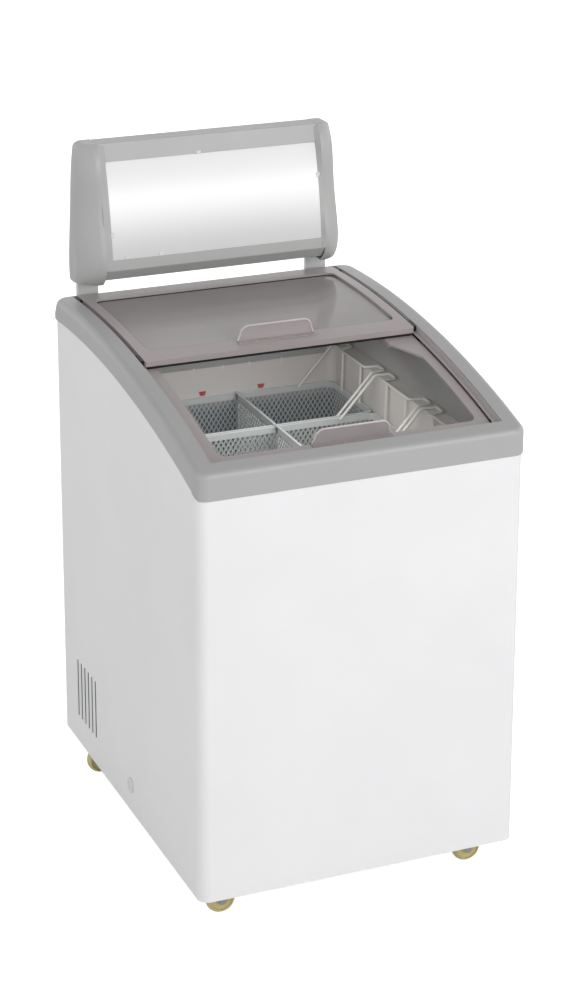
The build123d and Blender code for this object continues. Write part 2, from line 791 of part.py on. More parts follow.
def basket_centre(index):
    """Middle of a basket along Y, counted from the rear."""
    return throat_rear_y - basket_rear_gap - basket_half_depth - index * basket_pitch


def basket_tub_form(inset):
    """A basket's tapered body, drawn in by inset."""
    top_z = basket_rim_z
    low_z = top_z - basket_height + inset
    radius = basket_corner_radius - inset
    top_x, top_y = basket_half_length - inset, basket_half_depth - inset
    plans = [
        Pos(0, 0, low_z) * RectangleRounded(2 * (top_x - basket_taper), 2 * (top_y - basket_taper),
                                            radius),
        Pos(0, 0, top_z) * RectangleRounded(2 * top_x, 2 * top_y, radius)]
    return loft(plans, ruled=True)


def hanger(side):
    """The wire at one end of a basket: two hooks over the ledge, braces and uprights."""
    low_z = basket_rim_z - basket_rim_height / 2
    high_z = ledge_z + wire_radius + seat_gap
    near_x = liner_half_width - 2 * wire_radius - seat_gap
    far_x = liner_half_width + hook_reach
    end_y = basket_half_depth - wire_radius
    points = [(brace_x, end_y, low_z), (near_x, end_y, high_z),
              (far_x, end_y - 0.2 * hook_width, high_z), (far_x, end_y - 1.2 * hook_width, high_z),
              (near_x, end_y - 1.4 * hook_width, high_z)]
    points += [(x, -y, z) for x, y, z in reversed(points)]
    line = FilletPolyline(*points, radius=hook_bend_radius)
    wire = sweep(Plane(line @ 0, z_dir=line % 0) * Circle(wire_radius), path=line)
    for share in (-1, 1):
        y = share * (end_y - 2 * hook_width)
        foot = Vector(basket_half_length - wire_radius, y, low_z)
        head = Vector(near_x, y, high_z)
        upright = extrude(Plane(foot, z_dir=head - foot) * Circle(wire_radius),
                          (head - foot).length)
        wire += upright
    return wire if side > 0 else mirror(wire, about=Plane.YZ)


def basket(index):
    """Tub, rolled rim and the two welded wire hangers."""
    top_z = basket_rim_z
    outer = basket_tub_form(0)
    tub_wall = offset(outer, -basket_wall, openings=outer.faces().sort_by(Axis.Z)[-1])
    proud = basket_rim_proud
    rim_plan = RectangleRounded(2 * (basket_half_length + proud), 2 * (basket_half_depth + proud),
                                basket_corner_radius + proud)
    hole = RectangleRounded(2 * (basket_half_length - basket_wall),
                            2 * (basket_half_depth - basket_wall),
                            basket_corner_radius - basket_wall)
    rim = extrude(Pos(0, 0, top_z - basket_rim_height) * (rim_plan - hole), basket_rim_height)
    whole = tub_wall + rim
    for side in sides:
        whole += hanger(side)
    return Pos(0, basket_centre(index), 0) * whole


def basket_divider(index):
    """A cross panel that stands in a basket and hooks over its rim."""
    top_z = basket_rim_z
    low_z = top_z - basket_height + basket_wall + seat_gap
    top_y = basket_half_depth - basket_wall - seat_gap
    low_y = top_y - basket_taper
    outline = Polyline((0, -low_y, low_z), (0, low_y, low_z), (0, top_y, top_z + seat_gap),
                       (0, -top_y, top_z + seat_gap), close=True)
    panel = side_prism(outline, divider_thickness / 2)
    hook_y = basket_half_depth + basket_rim_proud
    bar = block((-wire_radius, wire_radius), (-hook_y, hook_y),
                (top_z + seat_gap, top_z + seat_gap + wire_radius))
    return Pos(divider_x, basket_centre(index), 0) * (panel + bar)


def sign_post(side):
    """Flat post behind the rim, with the foot that spaces it off the back panel."""
    front_y = half_depth + rim_proud + slide_gap
    x = side * post_x
    span = (x - post_width / 2, x + post_width / 2)
    post = block(span, (front_y, front_y + post_depth),
                 (base_z + post_low_rise, base_z + sign_top_rise - post_top_gap))
    post = fillet(post.edges().filter_by(Axis.Z), 2)
    foot_z = base_z + post_low_rise
    foot = block(span, (half_depth, front_y), (foot_z, foot_z + post_foot_height))
    return post + foot


def post_slot(side):
    """The hole a post needs through the light box's underside."""
    reach = post_width / 2 + post_slot_gap
    return block((side * post_x - reach, side * post_x + reach),
                 (half_depth, sign_back_y - sign_back_thickness),
                 (base_z, base_z + cap_rises[0] + 3 * sign_wall))


def sign_front(low_z, high_z):
    """The light box's front face line between two heights, bulging forward."""
    top_z = base_z + sign_top_rise
    lip_z = base_z + sign_lip_rise

    def front_y(z):
        share = (z - lip_z) / (top_z - lip_z)
        bulge = 4 * sign_bulge * share * (1 - share)
        return sign_lip_y + (sign_top_front_y - sign_lip_y) * share - bulge

    heights = (low_z, (low_z + high_z) / 2, high_z)
    return ThreePointArc(*[(0, front_y(z), z) for z in heights])


def sign_profile(inset):
    """The light box's side view, drawn in by inset."""
    low_z, top_z = base_z + sign_low_rise + inset, base_z + sign_top_rise - inset
    lip_z = base_z + sign_lip_rise
    back_y = sign_back_y - inset
    front = Pos(0, inset, 0) * sign_front(lip_z, top_z)
    crown, lip = front @ 1, front @ 0
    throat = (0, sign_throat_y + inset, base_z + sign_throat_rise + inset / 2)
    rest = Polyline(crown, (0, back_y, top_z), (0, back_y, low_z),
                    (0, back_y - post_depth, low_z), throat, lip)
    return make_face([front, rest])


def sign_shell():
    """The light box's middle: one bent sheet all round, open at both ends."""
    outer = extrude(sign_profile(0), sign_seam_x, dir=(1, 0, 0), both=True)
    inner = extrude(sign_profile(sign_wall), sign_seam_x + 1, dir=(1, 0, 0), both=True)
    rear = block((-sign_seam_x, sign_seam_x), (sign_back_y - sign_wall, sign_back_y),
                 (base_z, base_z + sign_top_rise))
    return outer - inner - rear


def sign_slice(low_rise, high_rise):
    """Space between two heights, for cutting the light box's rails apart."""
    return block((-cabinet_width, cabinet_width), (0, cabinet_depth),
                 (base_z + low_rise, base_z + high_rise))


def light_box_top_rail():
    """Upper rail of the light box, down to the panel's upper edge."""
    return sign_shell() & sign_slice(panel_high_rise, sign_top_rise + 1)


def light_box_bottom_rail():
    """Lower rail with the bent lip and the sloping underside."""
    rail = sign_shell() & sign_slice(sign_low_rise - 1, panel_low_rise)
    for side in sides:
        rail -= post_slot(side)
    return rail


def light_box_back():
    """Flat back of the light box, behind the posts."""
    return block((-sign_seam_x, sign_seam_x), (sign_back_y - sign_back_thickness, sign_back_y),
                 (base_z + sign_low_rise + sign_wall, base_z + sign_top_rise - sign_wall))


def light_box_panel():
    """Curved white acrylic sheet between the rails, with tongues behind both."""
    low_z = base_z + panel_low_rise - panel_tongue
    high_z = base_z + panel_high_rise + panel_tongue
    front = Pos(0, sign_wall + slide_gap, 0) * sign_front(low_z, high_z)
    back = Pos(0, panel_thickness, 0) * front
    outline = [front, Line(front @ 1, back @ 1), back, Line(back @ 0, front @ 0)]
    return side_prism(outline, sign_seam_x - slide_gap)


def cap_section(rise, half_x, inset):
    """Plan section of the right end cap at one height: straight seam, curved nose."""
    z = base_z + rise
    lip = base_z + sign_lip_rise
    if z < lip:
        front_y = sign_throat_y + 6
    else:
        front_y = (sign_front(lip, base_z + sign_top_rise) @ ((z - lip) / (
            base_z + sign_top_rise - lip))).Y
    back_y = sign_back_y - (sign_back_thickness if inset else 0)
    front_y += inset
    outer_x = half_x - inset
    nose_x = cap_front_x - inset
    seam_x = sign_seam_x - (1 if inset else 0)
    bend_x = nose_x + 0.78 * (outer_x - nose_x)
    bend_y = front_y + 0.3 * (back_y - front_y)
    nose = ThreePointArc((nose_x, front_y, z), (bend_x, bend_y, z), (outer_x, back_y - 4, z))
    rest = Polyline((outer_x, back_y - 4, z), (outer_x, back_y, z), (seam_x, back_y, z),
                    (seam_x, front_y, z), (nose_x, front_y, z))
    return make_face([nose, rest])


def cap_form(inset):
    """The right end cap as a full block with a rounded shoulder, drawn in by inset."""
    rises = list(cap_rises)
    rises[0] += inset
    rises[-1] -= inset
    form = loft([cap_section(rise, half, inset) for rise, half in zip(rises, cap_half_widths)])
    low_z, high_z = base_z + sign_low_rise, base_z + sign_top_rise - inset
    half_x = max(cap_half_widths) - inset
    shoulder_x = cap_half_widths[-1] - inset
    side_line = Line((half_x, low_z), (half_x, high_z - 3 * cap_crown_round))
    lean = Line(side_line @ 1, (shoulder_x, high_z))
    view = make_face([side_line, lean, Polyline(lean @ 1, (0, high_z), (0, low_z), (half_x, low_z))])
    corner = view.vertices().sort_by(lambda v: v.X + 10 * v.Y)[-1]
    view = fillet(corner, cap_crown_round - inset)
    place = Plane((0, cabinet_depth, 0), x_dir=(1, 0, 0), z_dir=(0, -1, 0))
    return form & extrude(place * view, 2 * cabinet_depth)


def light_box_cap(side):
    """Moulded end cap, hollow towards the light box, with a cut-out for its post."""
    cap = cap_form(0) - cap_form(sign_wall)
    cap -= post_slot(1)
    return cap if side > 0 else mirror(cap, about=Plane.YZ)


def lamp_line():
    """Where the lamp's axis lies: y and z."""
    return sign_back_y - sign_back_thickness - lamp_setback, base_z + lamp_rise


def lamp_tube():
    """Glass lamp tube with a metal end at each side."""
    y, z = lamp_line()
    glass = Pos(0, y, z) * Rot(0, 90, 0) * Cylinder(lamp_radius, lamp_length)
    return fillet(glass.edges(), 1.5)


def lamp_holders():
    """Two holders that stand off the back sheet and grip the tube's ends."""
    y, z = lamp_line()
    back_y = sign_back_y - sign_back_thickness
    holders = []
    for side in sides:
        x = side * (lamp_length / 2 + lamp_holder_width / 2 + slide_gap)
        body = block((x - lamp_holder_width / 2, x + lamp_holder_width / 2),
                     (y - lamp_radius - 3, back_y),
                     (z - lamp_holder_height / 2, z + lamp_holder_height / 2))
        holders.append(fillet(body.edges().filter_by(Axis.X), 3))
    return holders


def lamp_ballast():
    """Flat control gear box on the back sheet, above the lamp."""
    back_y = sign_back_y - sign_back_thickness
    z = base_z + lamp_rise + ballast_lift
    gear = block((-ballast_length / 2, ballast_length / 2), (back_y - ballast_depth, back_y),
                 (z - ballast_height / 2, z + ballast_height / 2))
    return chamfer(gear.faces().sort_by(Axis.Y)[0].edges(), 3)


def castor_places():
    """Name, swivel position and the side to which each castor trails."""
    places = []
    for row, x, y in (("front", front_castor_x, front_castor_y),
                      ("rear", rear_castor_x, rear_castor_y)):
        for side, hand in ((-1, "left"), (1, "right")):
            places.append((f"{row}_{hand}", side * x, y, side))
    return places


def castor_plates():
    """Four mounting plates under the pan, each with its king pin."""
    top_z = base_z + pan_recess
    plates = []
    for _, x, y, _ in castor_places():
        plate = Pos(x, y, top_z - castor_plate_thickness / 2) * Box(
            castor_plate_length, castor_plate_width, castor_plate_thickness)
        plate = fillet(plate.edges().filter_by(Axis.Z), 6)
        holes = [Pos(x + a * 0.38 * castor_plate_length, y + b * 0.34 * castor_plate_width, top_z)
                 * Cylinder(3, 4 * castor_plate_thickness) for a in sides for b in sides]
        low_z = 2 * wheel_radius + fork_crown_gap + seat_gap
        pin = Pos(x, y, (top_z + low_z) / 2) * Cylinder(king_pin_radius, top_z - low_z)
        plates.append(plate + pin - (Part() + holes))
    return plates


def castor_fork(x, y, trail_side):
    """Pressed fork: bearing dome, two legs that taper to the axle, and the riveted axle."""
    top_z = base_z + pan_recess - castor_plate_thickness - seat_gap
    crown_z = 2 * wheel_radius + fork_crown_gap
    dome_height = top_z - crown_z
    leg_y = wheel_width / 2 + fork_side_gap
    reach = leg_y + fork_thickness
    dome = Pos(0, 0, crown_z) * Cylinder(17, dome_height, align=(Align.CENTER, Align.CENTER,
                                                                Align.MIN))
    dome = chamfer(dome.edges().group_by(Axis.Z)[-1], 3)
    trail = trail_side * castor_trail
    crown = Pos(trail / 4, 0, crown_z + fork_thickness / 2) * Box(34, 2 * reach, fork_thickness)
    leg = make_hull([*(Pos(trail / 4, crown_z + fork_thickness / 2) * Rectangle(
        34, fork_thickness)).edges(), *(Pos(trail, wheel_radius) * Circle(8)).edges()])
    fork = dome + crown
    for side in sides:
        place = Plane((0, side * (leg_y + fork_thickness / 2), 0), x_dir=(1, 0, 0),
                      z_dir=(0, -1, 0))
        fork += extrude(place * leg, fork_thickness / 2, both=True)
    axle_place = Pos(trail, 0, wheel_radius) * Rot(90, 0, 0)
    fork += axle_place * Cylinder(axle_radius, 2 * reach + 3)
    fork += axle_place * Pos(0, 0, reach + 0.75) * Cylinder(2 * axle_radius, 1.5)
    fork += axle_place * Pos(0, 0, -reach - 0.75) * Cylinder(2 * axle_radius, 1.5)
    bore = Pos(0, 0, crown_z) * Cylinder(king_pin_radius + axle_clearance, 4 * dome_height)
    return Pos(x, y, 0) * (fork - bore)


def castor_wheel(x, y, trail_side):
    """Turned wheel with a rounded tread, dished sides and a hub."""
    half = wheel_width / 2
    bore = axle_radius + axle_clearance
    outline = Polyline((bore, -half - 0.3), (9, -half - 0.3), (10, -half + 3), (18, -half + 3),
                       (19, -half), (wheel_radius - tread_round, -half))
    tread = ThreePointArc((wheel_radius - tread_round, -half), (wheel_radius, 0),
                          (wheel_radius - tread_round, half))
    other = Polyline((wheel_radius - tread_round, half), (19, half), (18, half - 3),
                     (10, half - 3), (9, half + 0.3), (bore, half + 0.3), (bore, -half - 0.3))
    wheel = revolve(Plane.XZ * make_face([outline, tread, other]), Axis.Z)
    return Pos(x + trail_side * castor_trail, y, wheel_radius) * Rot(90, 0, 0) * wheel


def compressor():
    """Hermetic pot: domed upper shell over a lower one, weld flange, feet and pipe stubs."""
    low_z = pan_top_z + grommet_height * 0.6
    r = compressor_radius
    pot = Cylinder(r, compressor_height, align=(Align.CENTER, Align.CENTER, Align.MIN))
    pot = fillet(pot.edges().group_by(Axis.Z)[-1], 0.55 * r)
    pot = fillet(pot.edges().group_by(Axis.Z)[0], 0.25 * r)
    flange = Pos(0, 0, 0.5 * compressor_height) * Cylinder(r + pot_flange_proud, 3)
    feet = Box(2 * foot_spread_x + 24, 2 * foot_spread_y + 24, foot_thickness,
               align=(Align.CENTER, Align.CENTER, Align.MIN))
    feet = fillet(feet.edges().filter_by(Axis.Z), 12)
    holes = [Pos(a * foot_spread_x, b * foot_spread_y, 0) * Cylinder(
        grommet_radius * 0.6 + seat_gap, 4 * foot_thickness) for a in sides for b in sides]
    stubs = [Pos(-r, dy, z) * Rot(0, 90, 0) * Cylinder(4, 44)
             for dy, z in ((-20, 40), (18, 62), (34, 40))]
    whole = pot + flange + feet - (Part() + holes)
    for stub in stubs:
        whole += stub
    return Pos(compressor_x, compressor_y, low_z) * whole


def compressor_grommets():
    """Four waisted rubber grommets between the pan and the compressor's feet."""
    foot_z = grommet_height * 0.6
    grommets = []
    for a in sides:
        for b in sides:
            lower = Cylinder(grommet_radius, foot_z - seat_gap / 3,
                             align=(Align.CENTER, Align.CENTER, Align.MIN))
            upper = Cylinder(grommet_radius * 0.6, grommet_height,
                             align=(Align.CENTER, Align.CENTER, Align.MIN))
            grommets.append(Pos(compressor_x + a * foot_spread_x, compressor_y + b * foot_spread_y,
                                pan_top_z) * (lower + upper))
    return grommets


def relay_box():
    """Start relay under its snap-on cover on the pot's side."""
    x = compressor_x + compressor_radius + pot_flange_proud + seat_gap
    low_z = pan_top_z + 42
    box = block((x, x + 26), (compressor_y - 24, compressor_y + 24), (low_z, low_z + 52))
    return fillet(box.faces().sort_by(Axis.X)[-1].edges(), 5)


def condenser():
    """Finned coil behind the left louvres: a comb of fins, end sheets and return bends."""
    low_z = pan_top_z
    high_z = low_z + condenser_height
    x = (condenser_x - condenser_width / 2, condenser_x + condenser_width / 2)
    pitch = (condenser_rear_y - condenser_front_y) / (condenser_fins - 1)
    body = block((condenser_x - 6, condenser_x + 6), (condenser_front_y, condenser_rear_y),
                 (low_z, high_z))
    for index in range(condenser_fins):
        y = condenser_front_y + index * pitch
        body += block(x, (y - 0.6, y + 0.6), (low_z, high_z))
    row = condenser_height / condenser_rows
    for index in range(condenser_rows - 1):
        z = low_z + (index + 1) * row
        end = condenser_rear_y if index % 2 else condenser_front_y
        sign = 1 if index % 2 else -1
        bend = Pos(condenser_x, end, z) * Rot(0, 90, 0) * Torus(row / 2, condenser_tube_radius)
        half = block(x, sorted((end, end + sign * row)), (low_z, high_z))
        body += bend & half
    return body


def fan_centre():
    """Middle of the fan's disc, inside the shroud's ring."""
    x = condenser_x + condenser_width / 2 + seat_gap + fan_depth / 2
    y = (condenser_front_y + condenser_rear_y) / 2
    return Vector(x, y, pan_top_z + condenser_height / 2)


def fan_shroud():
    """Square plate with a ring round the fan and a three-armed motor bracket."""
    centre = fan_centre()
    low_x = centre.X - fan_depth / 2
    plate = block((low_x, low_x + shroud_thickness), (condenser_front_y, condenser_rear_y),
                  (pan_top_z, pan_top_z + condenser_height))
    axis = Pos(low_x, centre.Y, centre.Z) * Rot(0, 90, 0)
    inner, depth = fan_radius + fan_gap, fan_depth
    ring = axis * Cylinder(inner + shroud_thickness, depth,
                           align=(Align.CENTER, Align.CENTER, Align.MIN))
    hole = axis * Cylinder(inner, 3 * depth)
    bracket_x = low_x + depth - shroud_thickness
    shroud = plate + ring - hole
    for index in range(3):
        arm = Rot(0, 0, 90 + 120 * index) * block((fan_motor_radius - 4, inner + 1), (-5, 5),
                                                  (0, shroud_thickness))
        shroud += Pos(bracket_x, centre.Y, centre.Z) * Rot(0, 90, 0) * arm
    hub = Pos(bracket_x, centre.Y, centre.Z) * Rot(0, 90, 0) * Cylinder(
        fan_motor_radius, shroud_thickness, align=(Align.CENTER, Align.CENTER, Align.MIN))
    shaft_hole = axis * Cylinder(motor_shaft_radius + 1, 4 * depth)
    return shroud + hub - shaft_hole


def fan_motor():
    """Round motor on the bracket, its shaft through to the hub."""
    centre = fan_centre()
    back_x = centre.X + fan_depth / 2
    place = Pos(back_x, centre.Y, centre.Z) * Rot(0, 90, 0)
    can = Cylinder(fan_motor_radius, fan_motor_length, align=(Align.CENTER, Align.CENTER, Align.MIN))
    can = fillet(can.edges().group_by(Axis.Z)[-1], 6)
    shaft = Cylinder(motor_shaft_radius, fan_depth - seat_gap,
                     align=(Align.CENTER, Align.CENTER, Align.MAX))
    return place * (can + shaft)


def fan_blades():
    """Hub with five twisted blades."""
    centre = fan_centre()
    hub_radius = 14
    depth = fan_depth - 4 * shroud_thickness
    fan = Cylinder(hub_radius, depth)
    for index in range(fan_blade_count):
        root = Plane((hub_radius - 2, 0, 0), x_dir=(0, 1, 0), z_dir=(1, 0, 0))
        tip = Plane((fan_radius, 0, 0), x_dir=(0, 1, 0), z_dir=(1, 0, 0))
        blade = loft([root * Rot(0, 0, 38) * Rectangle(18, 1.6),
                      tip * Rot(0, 0, 20) * Rectangle(36, 1.6)])
        fan += Rot(0, 0, index * 360 / fan_blade_count) * blade
    fan -= Cylinder(motor_shaft_radius + axle_clearance, 2 * fan_depth)
    return Pos(centre.X - shroud_thickness, centre.Y, centre.Z) * Rot(0, 90, 0) * fan


def filter_drier():
    """Copper cartridge with coned ends, standing on the pan."""
    body = Cylinder(drier_radius, drier_length, align=(Align.CENTER, Align.CENTER, Align.MIN))
    body = chamfer(body.edges().group_by(Axis.Z)[-1], 6)
    body = chamfer(body.edges().group_by(Axis.Z)[0], 6)
    return Pos(gland_x + drier_offset, half_depth - drier_setback, pan_top_z) * body


def knob_place():
    """The thermostat's axis on the bay cover, its local Z pointing out to the rear."""
    return Pos(knob_x, half_depth + bay_cover_thickness, base_z + knob_rise) * Rot(-90, 0, 0)


def thermostat():
    """Control body behind the cover with its spindle through it."""
    body = block((-24, 24), (-18, 18), (-30 - bay_cover_thickness, -bay_cover_thickness))
    spindle = Cylinder(knob_spindle_radius, bay_cover_thickness + knob_height * 0.6,
                       align=(Align.CENTER, Align.CENTER, Align.MIN))
    return knob_place() * (body + Pos(0, 0, -bay_cover_thickness) * spindle)


def thermostat_knob():
    """Round knob with a grip bar and a blind bore."""
    knob = Cylinder(knob_radius, knob_height * 0.5, align=(Align.CENTER, Align.CENTER, Align.MIN))
    knob = chamfer(knob.edges().group_by(Axis.Z)[-1], 1.5)
    bar = fillet(Box(2 * knob_radius * 0.86, 8, knob_height,
                     align=(Align.CENTER, Align.CENTER, Align.MIN)).edges().group_by(Axis.Z)[-1], 2)
    bore = Cylinder(knob_spindle_radius + axle_clearance, 2 * (knob_height * 0.6))
    return knob_place() * Pos(0, 0, seat_gap) * (knob + bar - bore)


def gland_place():
    """The cable gland's axis on the bay cover, its local Z pointing out to the rear."""
    return Pos(gland_x, half_depth + bay_cover_thickness, base_z + gland_rise) * Rot(-90, 0, 0)


def cable_gland():
    """Moulded gland with an open bore for the mains lead."""
    collar = Cylinder(gland_radius + 4, 3, align=(Align.CENTER, Align.CENTER, Align.MIN))
    collar = fillet(collar.edges().group_by(Axis.Z)[-1], 1.2)
    sleeve = Cylinder(gland_radius, 14, align=(Align.CENTER, Align.CENTER, Align.MAX))
    bore = Cylinder(0.5 * gland_radius, 80)
    return gland_place() * (collar + sleeve - bore)


def write(name, shape):
    """Moves a finished piece into the part's own frame and writes it."""
    solids = shape if isinstance(shape, list) else [shape]
    moved = [Pos(0, outline_shift, 0) * solid for solid in solids]
    whole = moved[0] if len(moved) == 1 else Compound(moved)
    export_step(whole, f"parts/{name}.step")


def main():
    """Builds every piece and writes one file for each node."""
    os.makedirs("parts", exist_ok=True)
    makers = (outer_shell, back_panel, bay_cover, cover_screws, base_pan, inner_liner, neck_collar,
              insulation, drain_tube, drain_plug, evaporator_coil, top_rim, lid_tracks,
              lower_lid_frame, lid_brush_seal, light_box_top_rail, light_box_bottom_rail,
              light_box_back, light_box_panel, lamp_tube, lamp_holders, lamp_ballast,
              castor_plates, compressor, compressor_grommets, relay_box, condenser, fan_shroud,
              fan_motor, fan_blades, filter_drier, thermostat, thermostat_knob, cable_gland)
    for maker in makers:
        write(maker.__name__, maker())
    write("upper_lid_frame", lid_frame(*upper_lid, upper_opening))
    write("upper_lid_glass", lid_glass(*upper_lid, upper_opening))
    write("upper_lid_grip", lid_grip(upper_lid_rise, upper_opening_front_y - grip_setback))
    write("upper_lid_glides", lid_glides(*upper_lid))
    write("lower_lid_glass", lid_glass(*lower_lid, lower_opening))
    write("lower_lid_grip", lid_grip(lower_lid_rise, lower_opening_front_y))
    write("lower_lid_glides", lid_glides(*lower_lid))
    for index, name in enumerate(basket_names):
        write(f"{name}_basket", basket(index))
    for index, name in enumerate(basket_names[:-1]):
        write(f"{name}_divider", basket_divider(index))
    for side, hand in ((-1, "left"), (1, "right")):
        write(f"sign_post_{hand}", sign_post(side))
        write(f"light_box_cap_{hand}", light_box_cap(side))
    for name, x, y, side in castor_places():
        write(f"castor_fork_{name}", castor_fork(x, y, side))
        write(f"castor_wheel_{name}", castor_wheel(x, y, side))


main()
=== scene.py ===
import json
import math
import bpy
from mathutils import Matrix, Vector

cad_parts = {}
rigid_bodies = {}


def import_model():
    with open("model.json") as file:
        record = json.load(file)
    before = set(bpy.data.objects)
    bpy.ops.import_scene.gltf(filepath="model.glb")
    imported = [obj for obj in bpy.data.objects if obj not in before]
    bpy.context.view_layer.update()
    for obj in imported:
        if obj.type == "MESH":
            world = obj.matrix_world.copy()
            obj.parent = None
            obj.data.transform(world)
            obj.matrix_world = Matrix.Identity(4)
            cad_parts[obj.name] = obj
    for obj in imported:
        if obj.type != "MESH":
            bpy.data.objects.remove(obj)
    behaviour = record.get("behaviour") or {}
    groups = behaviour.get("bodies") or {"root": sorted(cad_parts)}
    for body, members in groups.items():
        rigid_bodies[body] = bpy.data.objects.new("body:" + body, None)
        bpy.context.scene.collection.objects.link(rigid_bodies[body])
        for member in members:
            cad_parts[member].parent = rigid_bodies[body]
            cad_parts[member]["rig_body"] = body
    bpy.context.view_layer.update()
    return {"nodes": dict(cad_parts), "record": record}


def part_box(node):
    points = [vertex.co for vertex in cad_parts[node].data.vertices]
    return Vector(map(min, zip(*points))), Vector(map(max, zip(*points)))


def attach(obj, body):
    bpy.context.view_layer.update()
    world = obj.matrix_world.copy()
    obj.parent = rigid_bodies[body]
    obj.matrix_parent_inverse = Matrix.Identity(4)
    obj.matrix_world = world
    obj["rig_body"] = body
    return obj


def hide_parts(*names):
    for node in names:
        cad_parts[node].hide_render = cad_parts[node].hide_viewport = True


bl_info = {
    "name": "Ice cream freezer",
    "version": (1, 0, 0),
    "blender": (4, 5, 0),
    "location": "3D View > Sidebar > Freezer",
    "description": "Dresses the packed frame of an ice cream freezer with sliding glass lids",
    "category": "Object",
}

import bmesh
import bpy
from mathutils import Matrix, Vector
from mathutils.bvhtree import BVHTree

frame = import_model()

MM = 0.001
WHITE = (1.0, 1.0, 1.0, 1.0)
# A rise is measured from the cabinet's lower edge, on top of the castors
CASTOR_HEIGHT = 58 * MM
# The part's frame puts the cabinet's middle this far in front of the origin
SHIFT = -6.9 * MM
# The lids slide on one arc about an axis across the freezer
ARCH_RADIUS = 1952 * MM
ARCH_Y = 232 * MM + SHIFT
ARCH_Z = CASTOR_HEIGHT + 782 * MM - ARCH_RADIUS
SLOT_OF = {item["node"]: item["material_slot"] for item in frame["record"]["subparts"]}


# ---------------------------------------------------------------- sizes and colours


class FreezerStage(bpy.types.PropertyGroup):
    camera_place: bpy.props.FloatVectorProperty(
        name="Camera place", description="Where the camera stands", subtype="TRANSLATION",
        unit="LENGTH", default=(-1.5797, -3.8173, 2.2142))
    heading: bpy.props.FloatProperty(
        name="Heading", description="Turn from +Y towards +X", subtype="ANGLE", unit="ROTATION",
        default=math.radians(22.772))
    tilt: bpy.props.FloatProperty(
        name="Tilt", description="Angle that the camera looks down", subtype="ANGLE",
        unit="ROTATION", default=math.radians(17.204))
    roll: bpy.props.FloatProperty(
        name="Roll", description="Turn about the line of sight", subtype="ANGLE",
        unit="ROTATION", default=math.radians(0.164))
    focal_share: bpy.props.FloatProperty(
        name="Focal share", description="Focal length over the picture's height", default=2.606)
    shift: bpy.props.FloatProperty(
        name="Lens shift", description="Vertical shift over the picture's height", default=-0.2)
    floor_colour: bpy.props.FloatVectorProperty(
        name="Floor colour", description="Pale floor", subtype="COLOR_GAMMA", size=3,
        default=(0.97, 0.97, 0.97))
    floor_size: bpy.props.FloatProperty(
        name="Floor size", description="Side of the square floor", unit="LENGTH", default=30.0)
    sky: bpy.props.FloatProperty(
        name="Room light", description="Strength of the even light all round", default=1.40)
    zenith: bpy.props.FloatProperty(
        name="Light from above", description="Share of the room light that comes straight down",
        default=0.12)
    floor_glow: bpy.props.FloatProperty(
        name="Floor glow", description="How much lighter the floor looks to the camera",
        default=0.80)
    key: bpy.props.FloatProperty(
        name="Key light", description="Power of the large front light", unit="POWER",
        default=50.0)
    key_size: bpy.props.FloatProperty(
        name="Key size", description="Side of the large front light", unit="LENGTH", default=2.4)
    tub: bpy.props.FloatProperty(
        name="Tub light", description="Power of the soft lamp under the lids", unit="POWER",
        default=0.46)
    tub_size: bpy.props.FloatProperty(
        name="Tub light size", description="Side of the soft lamp under the lids",
        unit="LENGTH", default=0.36)


class FreezerFinishes(bpy.types.PropertyGroup):
    shell: bpy.props.FloatVectorProperty(
        name="Shell enamel", description="White of the cabinet", subtype="COLOR_GAMMA",
        default=(0.945, 0.945, 0.95))
    rim: bpy.props.FloatVectorProperty(
        name="Rim grey", description="Grey of the moulded rim", subtype="COLOR_GAMMA",
        default=(0.69, 0.69, 0.69))
    lid: bpy.props.FloatVectorProperty(
        name="Lid frame", description="Mauve grey of the lids' frames", subtype="COLOR_GAMMA",
        default=(0.69, 0.655, 0.655))
    sign: bpy.props.FloatVectorProperty(
        name="Light box grey", description="Grey of the light box", subtype="COLOR_GAMMA",
        default=(0.70, 0.705, 0.70))
    liner: bpy.props.FloatVectorProperty(
        name="Liner", description="Cream grey of the tub's walls", subtype="COLOR_GAMMA",
        default=(0.86, 0.84, 0.825))
    basket: bpy.props.FloatVectorProperty(
        name="Basket coat", description="Pale coat of the baskets", subtype="COLOR_GAMMA",
        default=(0.80, 0.815, 0.81))
    wheel: bpy.props.FloatVectorProperty(
        name="Castor wheel", description="Cream yellow nylon", subtype="COLOR_GAMMA",
        default=(0.83, 0.77, 0.55))
    mark: bpy.props.FloatVectorProperty(
        name="Fill marks", description="Red of the marks inside the tub", subtype="COLOR_GAMMA",
        default=(0.72, 0.22, 0.22))


class FreezerLids(bpy.types.PropertyGroup):
    grip_base: bpy.props.FloatProperty(
        name="Grip base", description="Half the grip's width at its foot", unit="LENGTH",
        default=69.5 * MM)
    grip_top: bpy.props.FloatProperty(
        name="Grip top", description="Half the grip's width at its top", unit="LENGTH",
        default=64 * MM)
    grip_height: bpy.props.FloatProperty(
        name="Grip height", description="Height of the lip over the lid", unit="LENGTH",
        default=27 * MM)
    grip_sheet: bpy.props.FloatProperty(
        name="Grip sheet", description="Thickness of the lip", unit="LENGTH", default=2.4 * MM)
    shoulder: bpy.props.FloatProperty(
        name="Shoulder", description="Radius of the lip's upper corners", unit="LENGTH",
        default=15 * MM)
    bead: bpy.props.FloatProperty(
        name="Bead", description="Radius of the rolled edge of the lip", unit="LENGTH",
        default=1.7 * MM)
    # Painted shadow: the width of the dark band at the upper pane's rear, which stands for the
    # shade under the frame's rear bar
    gasket: bpy.props.FloatProperty(
        name="Gasket", description="Width of the dark gasket at the upper pane's rear",
        unit="LENGTH", default=5 * MM)


